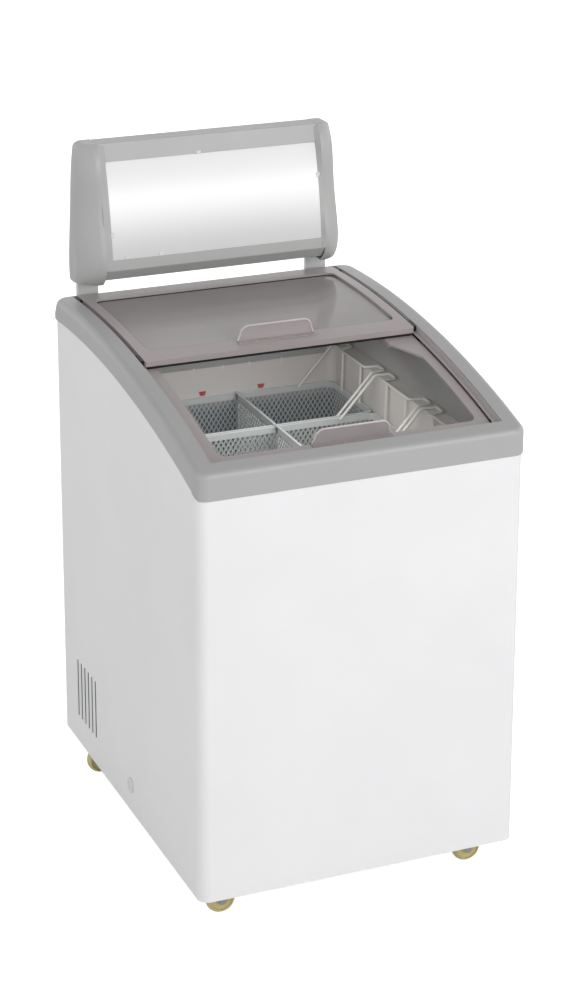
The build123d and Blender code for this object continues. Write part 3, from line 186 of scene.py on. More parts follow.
class FreezerVents(bpy.types.PropertyGroup):
    count: bpy.props.IntProperty(
        name="Louvres", description="Louvres on each side", default=6)
    pitch: bpy.props.FloatProperty(
        name="Louvre pitch", description="Spacing of the louvres", unit="LENGTH",
        default=19.3 * MM)
    # The slit and the slit length size the painted shadow strips at the louvres' open edges
    slit: bpy.props.FloatProperty(
        name="Slit", description="Width of a louvre's open edge", unit="LENGTH",
        default=3.2 * MM)
    length: bpy.props.FloatProperty(
        name="Slit length", description="Height of a louvre's open edge", unit="LENGTH",
        default=108 * MM)


class FreezerBaskets(bpy.types.PropertyGroup):
    half_length: bpy.props.FloatProperty(
        name="Half length", description="Half the length across the tub", unit="LENGTH",
        default=219 * MM)
    half_depth: bpy.props.FloatProperty(
        name="Half depth", description="Half the depth, front to rear", unit="LENGTH",
        default=89 * MM)
    corner: bpy.props.FloatProperty(
        name="Corner radius", description="Radius of the upright corners", unit="LENGTH",
        default=14 * MM)
    height: bpy.props.FloatProperty(
        name="Height", description="Rim to floor", unit="LENGTH", default=230 * MM)
    taper: bpy.props.FloatProperty(
        name="Taper", description="How far each wall leans in", unit="LENGTH", default=7 * MM)
    rim_rise: bpy.props.FloatProperty(
        name="Rim height", description="Rim above the cabinet's lower edge", unit="LENGTH",
        default=620 * MM)
    first_y: bpy.props.FloatProperty(
        name="Rear basket", description="Middle of the rear basket from the cabinet's middle",
        unit="LENGTH", default=193.5 * MM)
    pitch: bpy.props.FloatProperty(
        name="Pitch", description="Spacing of the baskets", unit="LENGTH", default=187 * MM)
    cell_width: bpy.props.FloatProperty(
        name="Diamond width", description="Width of one diamond", unit="LENGTH",
        default=9 * MM)
    cell_height: bpy.props.FloatProperty(
        name="Diamond height", description="Height of one diamond", unit="LENGTH",
        default=14 * MM)
    strand: bpy.props.FloatProperty(
        name="Strand", description="Width of a strand of the mesh", unit="LENGTH",
        default=1.5 * MM)
    sheet: bpy.props.FloatProperty(
        name="Sheet", description="Thickness of the mesh", unit="LENGTH", default=1.0 * MM)
    band: bpy.props.FloatProperty(
        name="Rim band", description="Height of the plain band under the rim", unit="LENGTH",
        default=11 * MM)
    wire: bpy.props.FloatProperty(
        name="Wire", description="Radius of the hanger wire", unit="LENGTH", default=2.5 * MM)
    divider_x: bpy.props.FloatProperty(
        name="Divider", description="Where the divider stands", unit="LENGTH",
        default=33 * MM)


class FreezerEdges(bpy.types.PropertyGroup):
    sheet: bpy.props.FloatProperty(
        name="Sheet edge", description="Rounding of folded sheet edges", unit="LENGTH",
        default=0.3 * MM)
    moulded: bpy.props.FloatProperty(
        name="Moulded edge", description="Rounding of moulded edges", unit="LENGTH",
        default=0.8 * MM)
    glass: bpy.props.FloatProperty(
        name="Glass edge", description="Rounding of the panes' edges", unit="LENGTH",
        default=0.4 * MM)


# ---------------------------------------------------------------- shader node groups


# Between which values the cloudy mask fades from clean to worn
CLOUD_RANGE = (0.35, 0.65)
# From which upward part of a normal dust starts to lie, and where it lies in full
DUST_RANGE = (0.7, 1.0)
DUST = (0.62, 0.60, 0.57, 1.0)


def srgb(value):
    """A display value from 0 to 1 as linear light."""
    return value / 12.92 if value <= 0.04045 else ((value + 0.055) / 1.055) ** 2.4


def linear(colour):
    """A display colour as a linear colour with full alpha."""
    return (*[srgb(value) for value in colour[:3]], 1.0)


def group_shell(name, inputs, outputs):
    """An empty shader node group with its sockets, and its input and output nodes."""
    group = bpy.data.node_groups.new(name, "ShaderNodeTree")
    for kind, side in ((inputs, "INPUT"), (outputs, "OUTPUT")):
        for label, socket, default in kind:
            item = group.interface.new_socket(label, in_out=side, socket_type=socket)
            if default is not None:
                item.default_value = default
    return group, group.nodes.new("NodeGroupInput"), group.nodes.new("NodeGroupOutput")


def grain_group():
    """Fine surface grain as a normal, and a slow cloudy mask."""
    group, entry, leave = group_shell(
        "Surface grain",
        (("Scale", "NodeSocketFloat", 900.0), ("Strength", "NodeSocketFloat", 0.1),
         ("Distance", "NodeSocketFloat", 0.0002), ("Cloud Scale", "NodeSocketFloat", 6.0)),
        (("Normal", "NodeSocketVector", None), ("Cloud", "NodeSocketFloat", None)))
    nodes, links = group.nodes, group.links
    place = nodes.new("ShaderNodeTexCoord")
    fine = nodes.new("ShaderNodeTexNoise")
    fine.inputs["Detail"].default_value = 4.0
    cloud = nodes.new("ShaderNodeTexNoise")
    cloud.inputs["Detail"].default_value = 3.0
    bump = nodes.new("ShaderNodeBump")
    links.new(place.outputs["Object"], fine.inputs["Vector"])
    links.new(place.outputs["Object"], cloud.inputs["Vector"])
    links.new(entry.outputs["Scale"], fine.inputs["Scale"])
    links.new(entry.outputs["Cloud Scale"], cloud.inputs["Scale"])
    links.new(entry.outputs["Strength"], bump.inputs["Strength"])
    links.new(entry.outputs["Distance"], bump.inputs["Distance"])
    links.new(fine.outputs["Fac"], bump.inputs["Height"])
    links.new(bump.outputs["Normal"], leave.inputs["Normal"])
    links.new(cloud.outputs["Fac"], leave.inputs["Cloud"])
    return group


def wear_group():
    """Colour and roughness that drift a little with the cloudy mask, and dust on what lies flat."""
    group, entry, leave = group_shell(
        "Wear and dust",
        (("Colour", "NodeSocketColor", (0.8, 0.8, 0.8, 1.0)),
         ("Worn Colour", "NodeSocketColor", (0.7, 0.7, 0.7, 1.0)),
         ("Roughness", "NodeSocketFloat", 0.4), ("Drift", "NodeSocketFloat", 0.1),
         ("Dust", "NodeSocketFloat", 0.05), ("Cloud", "NodeSocketFloat", 0.5)),
        (("Colour", "NodeSocketColor", None), ("Roughness", "NodeSocketFloat", None)))
    nodes, links = group.nodes, group.links
    spread = nodes.new("ShaderNodeMapRange")
    spread.inputs["From Min"].default_value = CLOUD_RANGE[0]
    spread.inputs["From Max"].default_value = CLOUD_RANGE[1]
    blend = nodes.new("ShaderNodeMix")
    blend.data_type = "RGBA"
    geometry = nodes.new("ShaderNodeNewGeometry")
    split = nodes.new("ShaderNodeSeparateXYZ")
    flat = nodes.new("ShaderNodeMapRange")
    flat.inputs["From Min"].default_value = DUST_RANGE[0]
    flat.inputs["From Max"].default_value = DUST_RANGE[1]
    amount = nodes.new("ShaderNodeMath")
    amount.operation = "MULTIPLY"
    dusty = nodes.new("ShaderNodeMix")
    dusty.data_type = "RGBA"
    dusty.inputs["B"].default_value = DUST
    change = nodes.new("ShaderNodeMath")
    change.operation = "MULTIPLY_ADD"
    links.new(entry.outputs["Cloud"], spread.inputs["Value"])
    links.new(spread.outputs["Result"], blend.inputs["Factor"])
    links.new(entry.outputs["Colour"], blend.inputs["A"])
    links.new(entry.outputs["Worn Colour"], blend.inputs["B"])
    links.new(geometry.outputs["Normal"], split.inputs["Vector"])
    links.new(split.outputs["Z"], flat.inputs["Value"])
    links.new(flat.outputs["Result"], amount.inputs[0])
    links.new(entry.outputs["Dust"], amount.inputs[1])
    links.new(amount.outputs["Value"], dusty.inputs["Factor"])
    links.new(blend.outputs["Result"], dusty.inputs["A"])
    links.new(dusty.outputs["Result"], leave.inputs["Colour"])
    links.new(spread.outputs["Result"], change.inputs[0])
    links.new(entry.outputs["Drift"], change.inputs[1])
    links.new(entry.outputs["Roughness"], change.inputs[2])
    links.new(change.outputs["Value"], leave.inputs["Roughness"])
    return group


# name: (colour, roughness, drift, grain scale, grain strength, metallic, coat, dust)
# A colour is a display value, or the name of a property of FreezerFinishes.
FINISHES = {
    "shell_enamel": ("shell", 0.30, 0.05, 260, 0.05, 0.0, 0.35, 0.0),
    "back_enamel": ((0.88, 0.88, 0.885), 0.36, 0.06, 260, 0.05, 0.0, 0.2, 0.02),
    "rim_plastic": ("rim", 0.36, 0.06, 1500, 0.08, 0.0, 0.12, 0.0),
    "lid_plastic": ("lid", 0.34, 0.06, 1500, 0.06, 0.0, 0.2, 0.0),
    "track_plastic": ((0.72, 0.695, 0.69), 0.38, 0.06, 1200, 0.06, 0.0, 0.1, 0.0),
    "collar_plastic": ((0.66, 0.655, 0.655), 0.5, 0.08, 1100, 0.1, 0.0, 0.0, 0.03),
    # The liner's cream; the tub's material adds painted shade to it below the baskets
    "liner_skin": ("liner", 0.42, 0.1, 420, 0.12, 0.0, 0.1, 0.03),
    "foam": ((0.87, 0.80, 0.58), 0.85, 0.1, 500, 0.5, 0.0, 0.0, 0.0),
    "black_plastic": ((0.09, 0.09, 0.09), 0.42, 0.08, 1200, 0.1, 0.0, 0.0, 0.04),
    "brush_pile": ((0.10, 0.10, 0.10), 0.9, 0.05, 2200, 0.9, 0.0, 0.0, 0.0),
    "basket_coat": ("basket", 0.38, 0.08, 700, 0.08, 0.0, 0.15, 0.02),
    "wire_coat": ((0.90, 0.895, 0.87), 0.34, 0.06, 700, 0.05, 0.0, 0.2, 0.0),
    "sign_plastic": ("sign", 0.38, 0.06, 1500, 0.08, 0.0, 0.15, 0.0),
    "post_enamel": ((0.84, 0.845, 0.845), 0.36, 0.06, 300, 0.05, 0.0, 0.15, 0.0),
    "white_plastic": ((0.90, 0.90, 0.885), 0.4, 0.06, 1200, 0.08, 0.0, 0.1, 0.02),
    "plug_plastic": ((0.88, 0.88, 0.885), 0.4, 0.06, 1200, 0.08, 0.0, 0.1, 0.0),
    "wheel_nylon": ("wheel", 0.38, 0.1, 900, 0.1, 0.0, 0.2, 0.05),
    "zinc": ((0.70, 0.70, 0.68), 0.36, 0.16, 340, 0.1, 0.9, 0.0, 0.06),
    "screw_steel": ((0.74, 0.74, 0.74), 0.28, 0.12, 500, 0.06, 1.0, 0.0, 0.03),
    "black_enamel": ((0.06, 0.06, 0.06), 0.34, 0.12, 300, 0.08, 0.0, 0.2, 0.1),
    "rubber": ((0.10, 0.10, 0.10), 0.75, 0.08, 900, 0.25, 0.0, 0.0, 0.08),
    "copper": ((0.80, 0.50, 0.36), 0.3, 0.2, 400, 0.05, 1.0, 0.0, 0.02),
    "fin_metal": ((0.80, 0.80, 0.80), 0.35, 0.15, 500, 0.08, 0.9, 0.0, 0.1),
    "bay_shadow": ((0.24, 0.24, 0.245), 0.8, 0.05, 600, 0.1, 0.0, 0.0, 0.0),
    # Dark grey of the gasket, which at the upper pane's rear is painted shadow
    "gasket_rubber": ((0.19, 0.18, 0.185), 0.7, 0.05, 900, 0.15, 0.0, 0.0, 0.0),
    # The lip's rolled edge: its own plastic, painted paler than the lip as a highlight
    "bead_plastic": ((0.80, 0.775, 0.775), 0.22, 0.04, 1500, 0.03, 0.0, 0.4, 0.0),
    "clip_plastic": ((0.90, 0.90, 0.90), 0.3, 0.04, 1200, 0.05, 0.0, 0.2, 0.0),
    "fill_mark": ("mark", 0.5, 0.06, 900, 0.05, 0.0, 0.0, 0.0),
    "pad_print": ((0.20, 0.20, 0.21), 0.5, 0.06, 900, 0.05, 0.0, 0.0, 0.0),
}
WORN_SHARE = 0.975
COAT_ROUGHNESS = 0.12
# name: (display tint, how much of what lies behind the pane its haze hides)
PANES = {
    "hazy_pane": ((0.76, 0.74, 0.735), 0.60),
    "clear_pane": ((0.70, 0.71, 0.71), 0.04),
    "grip_clear": ((0.75, 0.71, 0.71), 0.50),
}
HAZE_DRIFT = 0.15
PANE_ROUGHNESS, PANE_SPECULAR = 0.06, 0.9
PANE_GRAIN = (40.0, 0.01)
# Painted shade: the blue grey of the tub's walls below the baskets' rims, where the baskets shade
# them, and the heights over which it fades into the cream
TUB_PAINTED_SHADE_COLOUR = (0.40, 0.45, 0.49)
TUB_SHADE_FADE = (CASTOR_HEIGHT + 585 * MM, CASTOR_HEIGHT + 622 * MM)
# The acrylic's colour, the strength of its painted glow, and its roughness
ACRYLIC = (0.85, 0.85, 0.855)
ACRYLIC_PAINTED_GLOW, ACRYLIC_ROUGHNESS = 0.40, 0.22
# Painted glow, which stands in for the light on the panel: how brightly the acrylic glows from its
# lower edge, at 0, to its upper one, at 1
ACRYLIC_PAINTED_GLOW_STOPS = ((0.0, 0.0), (0.25, 0.12), (0.56, 1.0), (0.76, 0.30), (1.0, 0.12))
GROUPS = {}
MADE = {}


def shader_group(name):
    """A shared shader node group, built once."""
    if name not in GROUPS:
        GROUPS[name] = {"grain": grain_group, "wear": wear_group}[name]()
    return GROUPS[name]


def principled(name):
    """A new material, its node tree and its Principled shader."""
    material = bpy.data.materials.new(f"{name}_finish")
    material.use_nodes = True
    MADE[name] = material
    return material, material.node_tree, material.node_tree.nodes["Principled BSDF"]


def grain_node(tree, scale, strength):
    """The shared grain in a material's tree, with its own scale and strength."""
    grain = tree.nodes.new("ShaderNodeGroup")
    grain.node_tree = shader_group("grain")
    grain.inputs["Scale"].default_value = scale
    grain.inputs["Strength"].default_value = strength
    return grain


def height_share(tree, low, high):
    """How far up a point lies between two heights, from 0 to 1."""
    place = tree.nodes.new("ShaderNodeTexCoord")
    split = tree.nodes.new("ShaderNodeSeparateXYZ")
    share = tree.nodes.new("ShaderNodeMapRange")
    share.inputs["From Min"].default_value = low
    share.inputs["From Max"].default_value = high
    tree.links.new(place.outputs["Object"], split.inputs["Vector"])
    tree.links.new(split.outputs["Z"], share.inputs["Value"])
    return share


def finish(name):
    """The named finish as a material, built once."""
    if name in MADE:
        return MADE[name]
    colour, roughness, drift, scale, strength, metallic, coat, dust = FINISHES[name]
    if isinstance(colour, str):
        colour = getattr(bpy.context.scene.freezer_finishes, colour)
    base = linear(colour)
    worn = tuple(WORN_SHARE * value for value in base[:3]) + (1.0,)
    material, tree, shader = principled(name)
    grain = grain_node(tree, scale, strength)
    wear = tree.nodes.new("ShaderNodeGroup")
    wear.node_tree = shader_group("wear")
    wear.inputs["Colour"].default_value = base
    wear.inputs["Worn Colour"].default_value = worn
    wear.inputs["Roughness"].default_value = roughness
    wear.inputs["Drift"].default_value = drift
    wear.inputs["Dust"].default_value = dust
    tree.links.new(grain.outputs["Cloud"], wear.inputs["Cloud"])
    tree.links.new(wear.outputs["Colour"], shader.inputs["Base Color"])
    tree.links.new(wear.outputs["Roughness"], shader.inputs["Roughness"])
    tree.links.new(grain.outputs["Normal"], shader.inputs["Normal"])
    shader.inputs["Metallic"].default_value = metallic
    shader.inputs["Coat Weight"].default_value = coat
    shader.inputs["Coat Roughness"].default_value = COAT_ROUGHNESS
    return material


def pane_glass(name):
    """The named pane as a material with a light cloudy haze, built once."""
    if name in MADE:
        return MADE[name]
    tint, haze = PANES[name]
    material, tree, shader = principled(name)
    grain = grain_node(tree, *PANE_GRAIN)
    spread = tree.nodes.new("ShaderNodeMapRange")
    spread.inputs["To Min"].default_value = (1 - HAZE_DRIFT) * haze
    spread.inputs["To Max"].default_value = (1 + HAZE_DRIFT) * haze
    tree.links.new(grain.outputs["Cloud"], spread.inputs["Value"])
    tree.links.new(spread.outputs["Result"], shader.inputs["Alpha"])
    shader.inputs["Base Color"].default_value = linear(tint)
    shader.inputs["Roughness"].default_value = PANE_ROUGHNESS
    shader.inputs["Specular IOR Level"].default_value = PANE_SPECULAR
    material.surface_render_method = "BLENDED"
    return material


def tub_skin_with_painted_shade():
    """Cream above the baskets' rims, and painted shade below them: a blue grey that stands for the
    shade the baskets cast on the walls.
    """
    material = finish("liner_skin")
    tree = material.node_tree
    wear = next(node for node in tree.nodes if "Worn Colour" in node.inputs)
    cream = wear.inputs["Colour"].default_value[:]
    share = height_share(tree, *TUB_SHADE_FADE)
    share.interpolation_type = "SMOOTHSTEP"
    for label in ("Colour", "Worn Colour"):
        blend = tree.nodes.new("ShaderNodeMix")
        blend.data_type = "RGBA"
        blend.inputs["A"].default_value = linear(TUB_PAINTED_SHADE_COLOUR)
        blend.inputs["B"].default_value = cream
        tree.links.new(share.outputs["Result"], blend.inputs["Factor"])
        tree.links.new(blend.outputs["Result"], wear.inputs[label])
    return material


def lit_acrylic():
    """Opal acrylic with a painted glow, brightest across its middle, which stands in for the light
    that falls on it.
    """
    material, tree, shader = principled("lit_acrylic")
    low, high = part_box("light_box_panel")
    share = height_share(tree, low[2], high[2])
    ramp = tree.nodes.new("ShaderNodeValToRGB")
    ramp.color_ramp.interpolation = "B_SPLINE"
    stops = ramp.color_ramp.elements
    for index, (at, value) in enumerate(ACRYLIC_PAINTED_GLOW_STOPS):
        # A new ramp already has two stops
        stop = stops[index] if index < 2 else stops.new(at)
        stop.position = at
        stop.color = (value, value, value, 1.0)
    tree.links.new(share.outputs["Result"], ramp.inputs["Fac"])
    tree.links.new(ramp.outputs["Color"], shader.inputs["Emission Color"])
    shader.inputs["Emission Strength"].default_value = ACRYLIC_PAINTED_GLOW
    shader.inputs["Base Color"].default_value = linear(ACRYLIC)
    shader.inputs["Roughness"].default_value = ACRYLIC_ROUGHNESS
    return material


# ---------------------------------------------------------------- meshes


CREASE_ANGLE = math.radians(34)
BEVEL_ANGLE = math.radians(30)
BEVEL_SEGMENTS = 2
MERGE_DISTANCE = 0.01 * MM
FLAT_ANGLE = math.radians(0.4)
WIRE_RESOLUTION = 4
# The largest share of a straight stretch that the bend at one of its ends takes up
BEND_SHARE = 0.48
# A place in front of the whole freezer, from which the faces that look forward are found
AHEAD_Y = -1.0
# The signs of a rectangle's corners, anticlockwise from the front right one
CORNERS = ((1, -1), (1, 1), (-1, 1), (-1, -1))


def add_object(name, data):
    """A new object at the origin for a mesh, a curve, a lamp or a camera."""
    piece = bpy.data.objects.new(name, data)
    bpy.context.scene.collection.objects.link(piece)
    return piece


def from_bmesh(name, shape):
    """Turns a finished bmesh into an object."""
    mesh = bpy.data.meshes.new(name)
    shape.to_mesh(mesh)
    shape.free()
    return add_object(name, mesh)


def plain(piece):
    """Replaces a piece's modifiers, or a curve, by the plain mesh that they make."""
    bpy.context.view_layer.update()
    evaluated = piece.evaluated_get(bpy.context.evaluated_depsgraph_get())
    mesh = bpy.data.meshes.new_from_object(evaluated)
    name = piece.name
    bpy.data.objects.remove(piece)
    mesh.name = name
    return add_object(name, mesh)


def smooth(piece):
    """Smooth faces, with creases where they meet at a large angle."""
    mesh = piece.data
    mesh.polygons.foreach_set("use_smooth", [True] * len(mesh.polygons))
    mesh.set_sharp_from_angle(angle=CREASE_ANGLE)
    return piece


def rounded(piece, width):
    """Rounds a piece's sharp edges and leaves a plain mesh."""
    bevel = piece.modifiers.new("Edges", "BEVEL")
    bevel.width = width
    bevel.segments = BEVEL_SEGMENTS
    bevel.limit_method = "ANGLE"
    bevel.angle_limit = BEVEL_ANGLE
    bevel.use_clamp_overlap = True
    bevel.miter_outer = "MITER_ARC"
    piece = smooth(plain(piece))
    even = piece.modifiers.new("Normals", "WEIGHTED_NORMAL")
    even.keep_sharp = True
    return plain(piece)


def coat(piece, material):
    """Gives a piece one material."""
    piece.data.materials.clear()
    piece.data.materials.append(material)
    return piece


def cad_copy(node, name):
    """A merged copy of a CAD node's mesh."""
    shape = bmesh.new()
    shape.from_mesh(frame["nodes"][node].data)
    bmesh.ops.remove_doubles(shape, verts=shape.verts, dist=MERGE_DISTANCE)
    bmesh.ops.dissolve_limit(shape, angle_limit=FLAT_ANGLE, verts=shape.verts,
                             edges=shape.edges)
    return from_bmesh(name, shape)


def search_tree(*nodes):
    """A search tree over the faces of CAD nodes."""
    shape = bmesh.new()
    for node in nodes:
        shape.from_mesh(frame["nodes"][node].data)
    tree = BVHTree.FromBMesh(shape)
    shape.free()
    return tree


def front_of(tree, x, z):
    """Where a line from the front along +Y first meets the tree's faces."""
    spot = tree.ray_cast(Vector((x, AHEAD_Y, z)), Vector((0, 1, 0)))[0]
    if spot is None:
        raise RuntimeError(f"No face at {x:.4f}, {z:.4f}")
    return spot.y


def body_of(node):
    """The body that a CAD node belongs to."""
    return frame["nodes"][node]["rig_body"]


def seat(piece, body, slot_name, *nodes):
    """Fastens a finished piece to its body, and lets it stand for CAD nodes."""
    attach(piece, body)
    if nodes:
        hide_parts(*nodes)
    return piece


def dress(node, material, edge, reshape=None):
    """A smooth copy of a CAD node with rounded edges, in its own finish."""
    copy = cad_copy(node, f"{node}_shown")
    if reshape:
        copy = reshape(copy)
    piece = rounded(copy, edge)
    coat(piece, material)
    return seat(piece, body_of(node), SLOT_OF[node], node)


def paint(node, material):
    """Only a better finish for a CAD node whose shape is right."""
    coat(frame["nodes"][node], material)


def wire(name, points, radius):
    """A round wire along points, as a plain mesh."""
    curve = bpy.data.curves.new(name, "CURVE")
    curve.dimensions = "3D"
    curve.bevel_depth = radius
    curve.bevel_resolution = WIRE_RESOLUTION
    curve.use_fill_caps = True
    line = curve.splines.new("POLY")
    line.points.add(len(points) - 1)
    for point, place in zip(line.points, points):
        point.co = (*place, 1.0)
    return smooth(plain(add_object(name, curve)))


def bent(points, radius, steps=6):
    """The points of a line with its corners rounded."""
    path = [Vector(points[0])]
    for before, corner, after in zip(points, points[1:], points[2:]):
        corner = Vector(corner)
        back, ahead = Vector(before) - corner, Vector(after) - corner
        turn = back.angle(ahead)
        reach = min(radius / math.tan(turn / 2), BEND_SHARE * back.length,
                    BEND_SHARE * ahead.length)
        start, end = corner + reach * back.normalized(), corner + reach * ahead.normalized()
        for step in range(steps + 1):
            share = step / steps
            near = start.lerp(corner, share)
            path.append(near.lerp(corner.lerp(end, share), share))
    path.append(Vector(points[-1]))
    return path


def joined(name, pieces):
    """One object from several, with a single material slot."""
    shape = bmesh.new()
    for piece in pieces:
        shape.from_mesh(piece.data)
        bpy.data.objects.remove(piece)
    for face in shape.faces:
        face.material_index = 0
    return smooth(from_bmesh(name, shape))


def lofted(name, rings, looped=False):
    """A skin over closed rings of equal length, with capped ends or looped to its start."""
    shape = bmesh.new()
    rows = [[shape.verts.new(point) for point in ring] for ring in rings]
    count = len(rows[0])
    for low, high in zip(rows, rows[1:] + (rows[:1] if looped else [])):
        for index in range(count):
            after = (index + 1) % count
            shape.faces.new((low[index], low[after], high[after], high[index]))
    if not looped:
        shape.faces.new(list(reversed(rows[0])))
        shape.faces.new(rows[-1])
    bmesh.ops.recalc_face_normals(shape, faces=shape.faces)
    return from_bmesh(name, shape)


def round_rectangle(half_x, front, rear, corner, steps=6):
    """Points of a rectangle with round corners, anticlockwise from the front right one."""
    for turn, (a, b) in enumerate(CORNERS):
        x = a * (half_x - corner)
        y = rear - corner if b > 0 else front + corner
        for step in range(steps + 1):
            angle = math.radians(-90 + 90 * (turn + step / steps))
            yield x + corner * math.cos(angle), y + corner * math.sin(angle)


# ---------------------------------------------------------------- geometry node trees


def tree_shell(name, inputs):
    """An empty geometry tree with its inputs and its output, and the inputs' identifiers."""
    tree = bpy.data.node_groups.new(name, "GeometryNodeTree")
    ids = {}
    for label, socket, default in inputs:
        item = tree.interface.new_socket(label, in_out="INPUT", socket_type=socket)
        if default is not None:
            item.default_value = default
        ids[label] = item.identifier
    tree.interface.new_socket("Geometry", in_out="OUTPUT", socket_type="NodeSocketGeometry")
    return tree, tree.nodes.new("NodeGroupInput"), tree.nodes.new("NodeGroupOutput"), ids


def maths(tree, operation, *values):
    """A Math node; a value is a number or a socket."""
    node = tree.nodes.new("ShaderNodeMath")
    node.operation = operation
    for socket, value in zip(node.inputs, values):
        if isinstance(value, (int, float)):
            socket.default_value = value
        else:
            tree.links.new(value, socket)
    return node.outputs[0]


def spread_out(tree, entry, leave, points, instance, rotation=None):
    """Ends a tree: the instance on every point, made real, in the given material."""
    nodes, links = tree.nodes, tree.links
    spread = nodes.new("GeometryNodeInstanceOnPoints")
    real = nodes.new("GeometryNodeRealizeInstances")
    paint_it = nodes.new("GeometryNodeSetMaterial")
    links.new(points, spread.inputs["Points"])
    links.new(instance, spread.inputs["Instance"])
    if rotation:
        links.new(rotation, spread.inputs["Rotation"])
    links.new(spread.outputs["Instances"], real.inputs["Geometry"])
    links.new(real.outputs["Geometry"], paint_it.inputs["Geometry"])
    links.new(entry.outputs["Material"], paint_it.inputs["Material"])
    links.new(paint_it.outputs["Geometry"], leave.inputs["Geometry"])


def diamond_tree():
    """Expanded mesh: crossed strands on every cell of a flat grid."""
    tree, entry, leave, ids = tree_shell("Diamond mesh", (
        ("Columns", "NodeSocketInt", 10), ("Rows", "NodeSocketInt", 10),
        ("Cell Width", "NodeSocketFloat", 0.009), ("Cell Height", "NodeSocketFloat", 0.014),
        ("Strand", "NodeSocketFloat", 0.0015), ("Sheet", "NodeSocketFloat", 0.001),
        ("Material", "NodeSocketMaterial", None)))
    nodes, links, given = tree.nodes, tree.links, entry.outputs
    grid = nodes.new("GeometryNodeMeshGrid")
    wide = maths(tree, "MULTIPLY", maths(tree, "SUBTRACT", given["Columns"], 1.0),
                 given["Cell Width"])
    tall = maths(tree, "MULTIPLY", maths(tree, "SUBTRACT", given["Rows"], 1.0),
                 given["Cell Height"])
    links.new(wide, grid.inputs["Size X"])
    links.new(tall, grid.inputs["Size Y"])
    links.new(given["Columns"], grid.inputs["Vertices X"])
    links.new(given["Rows"], grid.inputs["Vertices Y"])
    squares = maths(tree, "ADD", maths(tree, "POWER", given["Cell Width"], 2.0),
                    maths(tree, "POWER", given["Cell Height"], 2.0))
    size = nodes.new("ShaderNodeCombineXYZ")
    links.new(maths(tree, "SQRT", squares), size.inputs["X"])
    links.new(given["Strand"], size.inputs["Y"])
    links.new(given["Sheet"], size.inputs["Z"])
    strand = nodes.new("GeometryNodeMeshCube")
    links.new(size.outputs["Vector"], strand.inputs["Size"])
    lean = maths(tree, "ARCTAN2", given["Cell Height"], given["Cell Width"])
    cross = nodes.new("GeometryNodeJoinGeometry")
    for sign in (1.0, -1.0):
        turn = nodes.new("ShaderNodeCombineXYZ")
        links.new(maths(tree, "MULTIPLY", lean, sign), turn.inputs["Z"])
        turned = nodes.new("GeometryNodeTransform")
        links.new(strand.outputs["Mesh"], turned.inputs["Geometry"])
        links.new(turn.outputs["Vector"], turned.inputs["Rotation"])
        links.new(turned.outputs["Geometry"], cross.inputs["Geometry"])
    spread_out(tree, entry, leave, grid.outputs["Mesh"], cross.outputs["Geometry"])
    return tree, ids


def row_tree():
    """Equal blocks in a row along Y."""
    tree, entry, leave, ids = tree_shell("Row of blocks", (
        ("Count", "NodeSocketInt", 6), ("Pitch", "NodeSocketFloat", 0.02),
        ("Block", "NodeSocketVector", (0.001, 0.003, 0.1)),
        ("Material", "NodeSocketMaterial", None)))
    nodes, links, given = tree.nodes, tree.links, entry.outputs
    line = nodes.new("GeometryNodeMeshLine")
    step = nodes.new("ShaderNodeCombineXYZ")
    links.new(given["Pitch"], step.inputs["Y"])
    links.new(given["Count"], line.inputs["Count"])
    links.new(step.outputs["Vector"], line.inputs["Offset"])
    block = nodes.new("GeometryNodeMeshCube")
    links.new(given["Block"], block.inputs["Size"])
    spread_out(tree, entry, leave, line.outputs["Mesh"], block.outputs["Mesh"])
    return tree, ids


def dial_tree():
    """Equal ticks that point outwards on a part of a circle."""
    tree, entry, leave, ids = tree_shell("Dial ticks", (
        ("Count", "NodeSocketInt", 7), ("Radius", "NodeSocketFloat", 0.022),
        ("Sweep", "NodeSocketFloat", 4.5), ("Tick", "NodeSocketVector", (0.004, 0.001, 0.0003)),
        ("Material", "NodeSocketMaterial", None)))
    nodes, links, given = tree.nodes, tree.links, entry.outputs
    arc = nodes.new("GeometryNodeCurveArc")
    links.new(given["Count"], arc.inputs["Resolution"])
    links.new(given["Radius"], arc.inputs["Radius"])
    links.new(given["Sweep"], arc.inputs["Sweep Angle"])
    points = nodes.new("GeometryNodeCurveToPoints")
    points.mode = "EVALUATED"
    links.new(arc.outputs["Curve"], points.inputs["Curve"])
    tick = nodes.new("GeometryNodeMeshCube")
    links.new(given["Tick"], tick.inputs["Size"])
    place = nodes.new("GeometryNodeInputPosition")
    align = nodes.new("FunctionNodeAlignRotationToVector")
    align.axis = "X"
    links.new(place.outputs["Position"], align.inputs["Vector"])
    spread_out(tree, entry, leave, points.outputs["Points"], tick.outputs["Mesh"],
               align.outputs["Rotation"])
    return tree, ids


TREES = {}


def grown(name, kind, values):
    """A plain mesh object made by one of the geometry trees."""
    if kind not in TREES:
        TREES[kind] = {"diamond": diamond_tree, "dial": dial_tree, "row": row_tree}[kind]()
    tree, ids = TREES[kind]
    piece = add_object(name, bpy.data.meshes.new(name))
    modifier = piece.modifiers.new("Grow", "NODES")
    modifier.node_group = tree
    for label, value in values.items():
        modifier[ids[label]] = value
    return plain(piece)


def mapped(piece, place):
    """Moves every vertex of a flat piece to where place puts it."""
    for vertex in piece.data.vertices:
        vertex.co = place(*vertex.co)
    return piece


# ---------------------------------------------------------------- stage


KEY_PLACE, KEY_TARGET = (1.5, -3.7, 2.7), (0, 0, 0.55)
TUB_PLACE, TUB_TARGET = (0, -0.03, 0.775), (0, 0.06, 0.40)
FLOOR_GRAIN, FLOOR_ROUGHNESS, FLOOR_SPECULAR = (60.0, 0.02), 0.7, 0.1
SENSOR_HEIGHT = 36


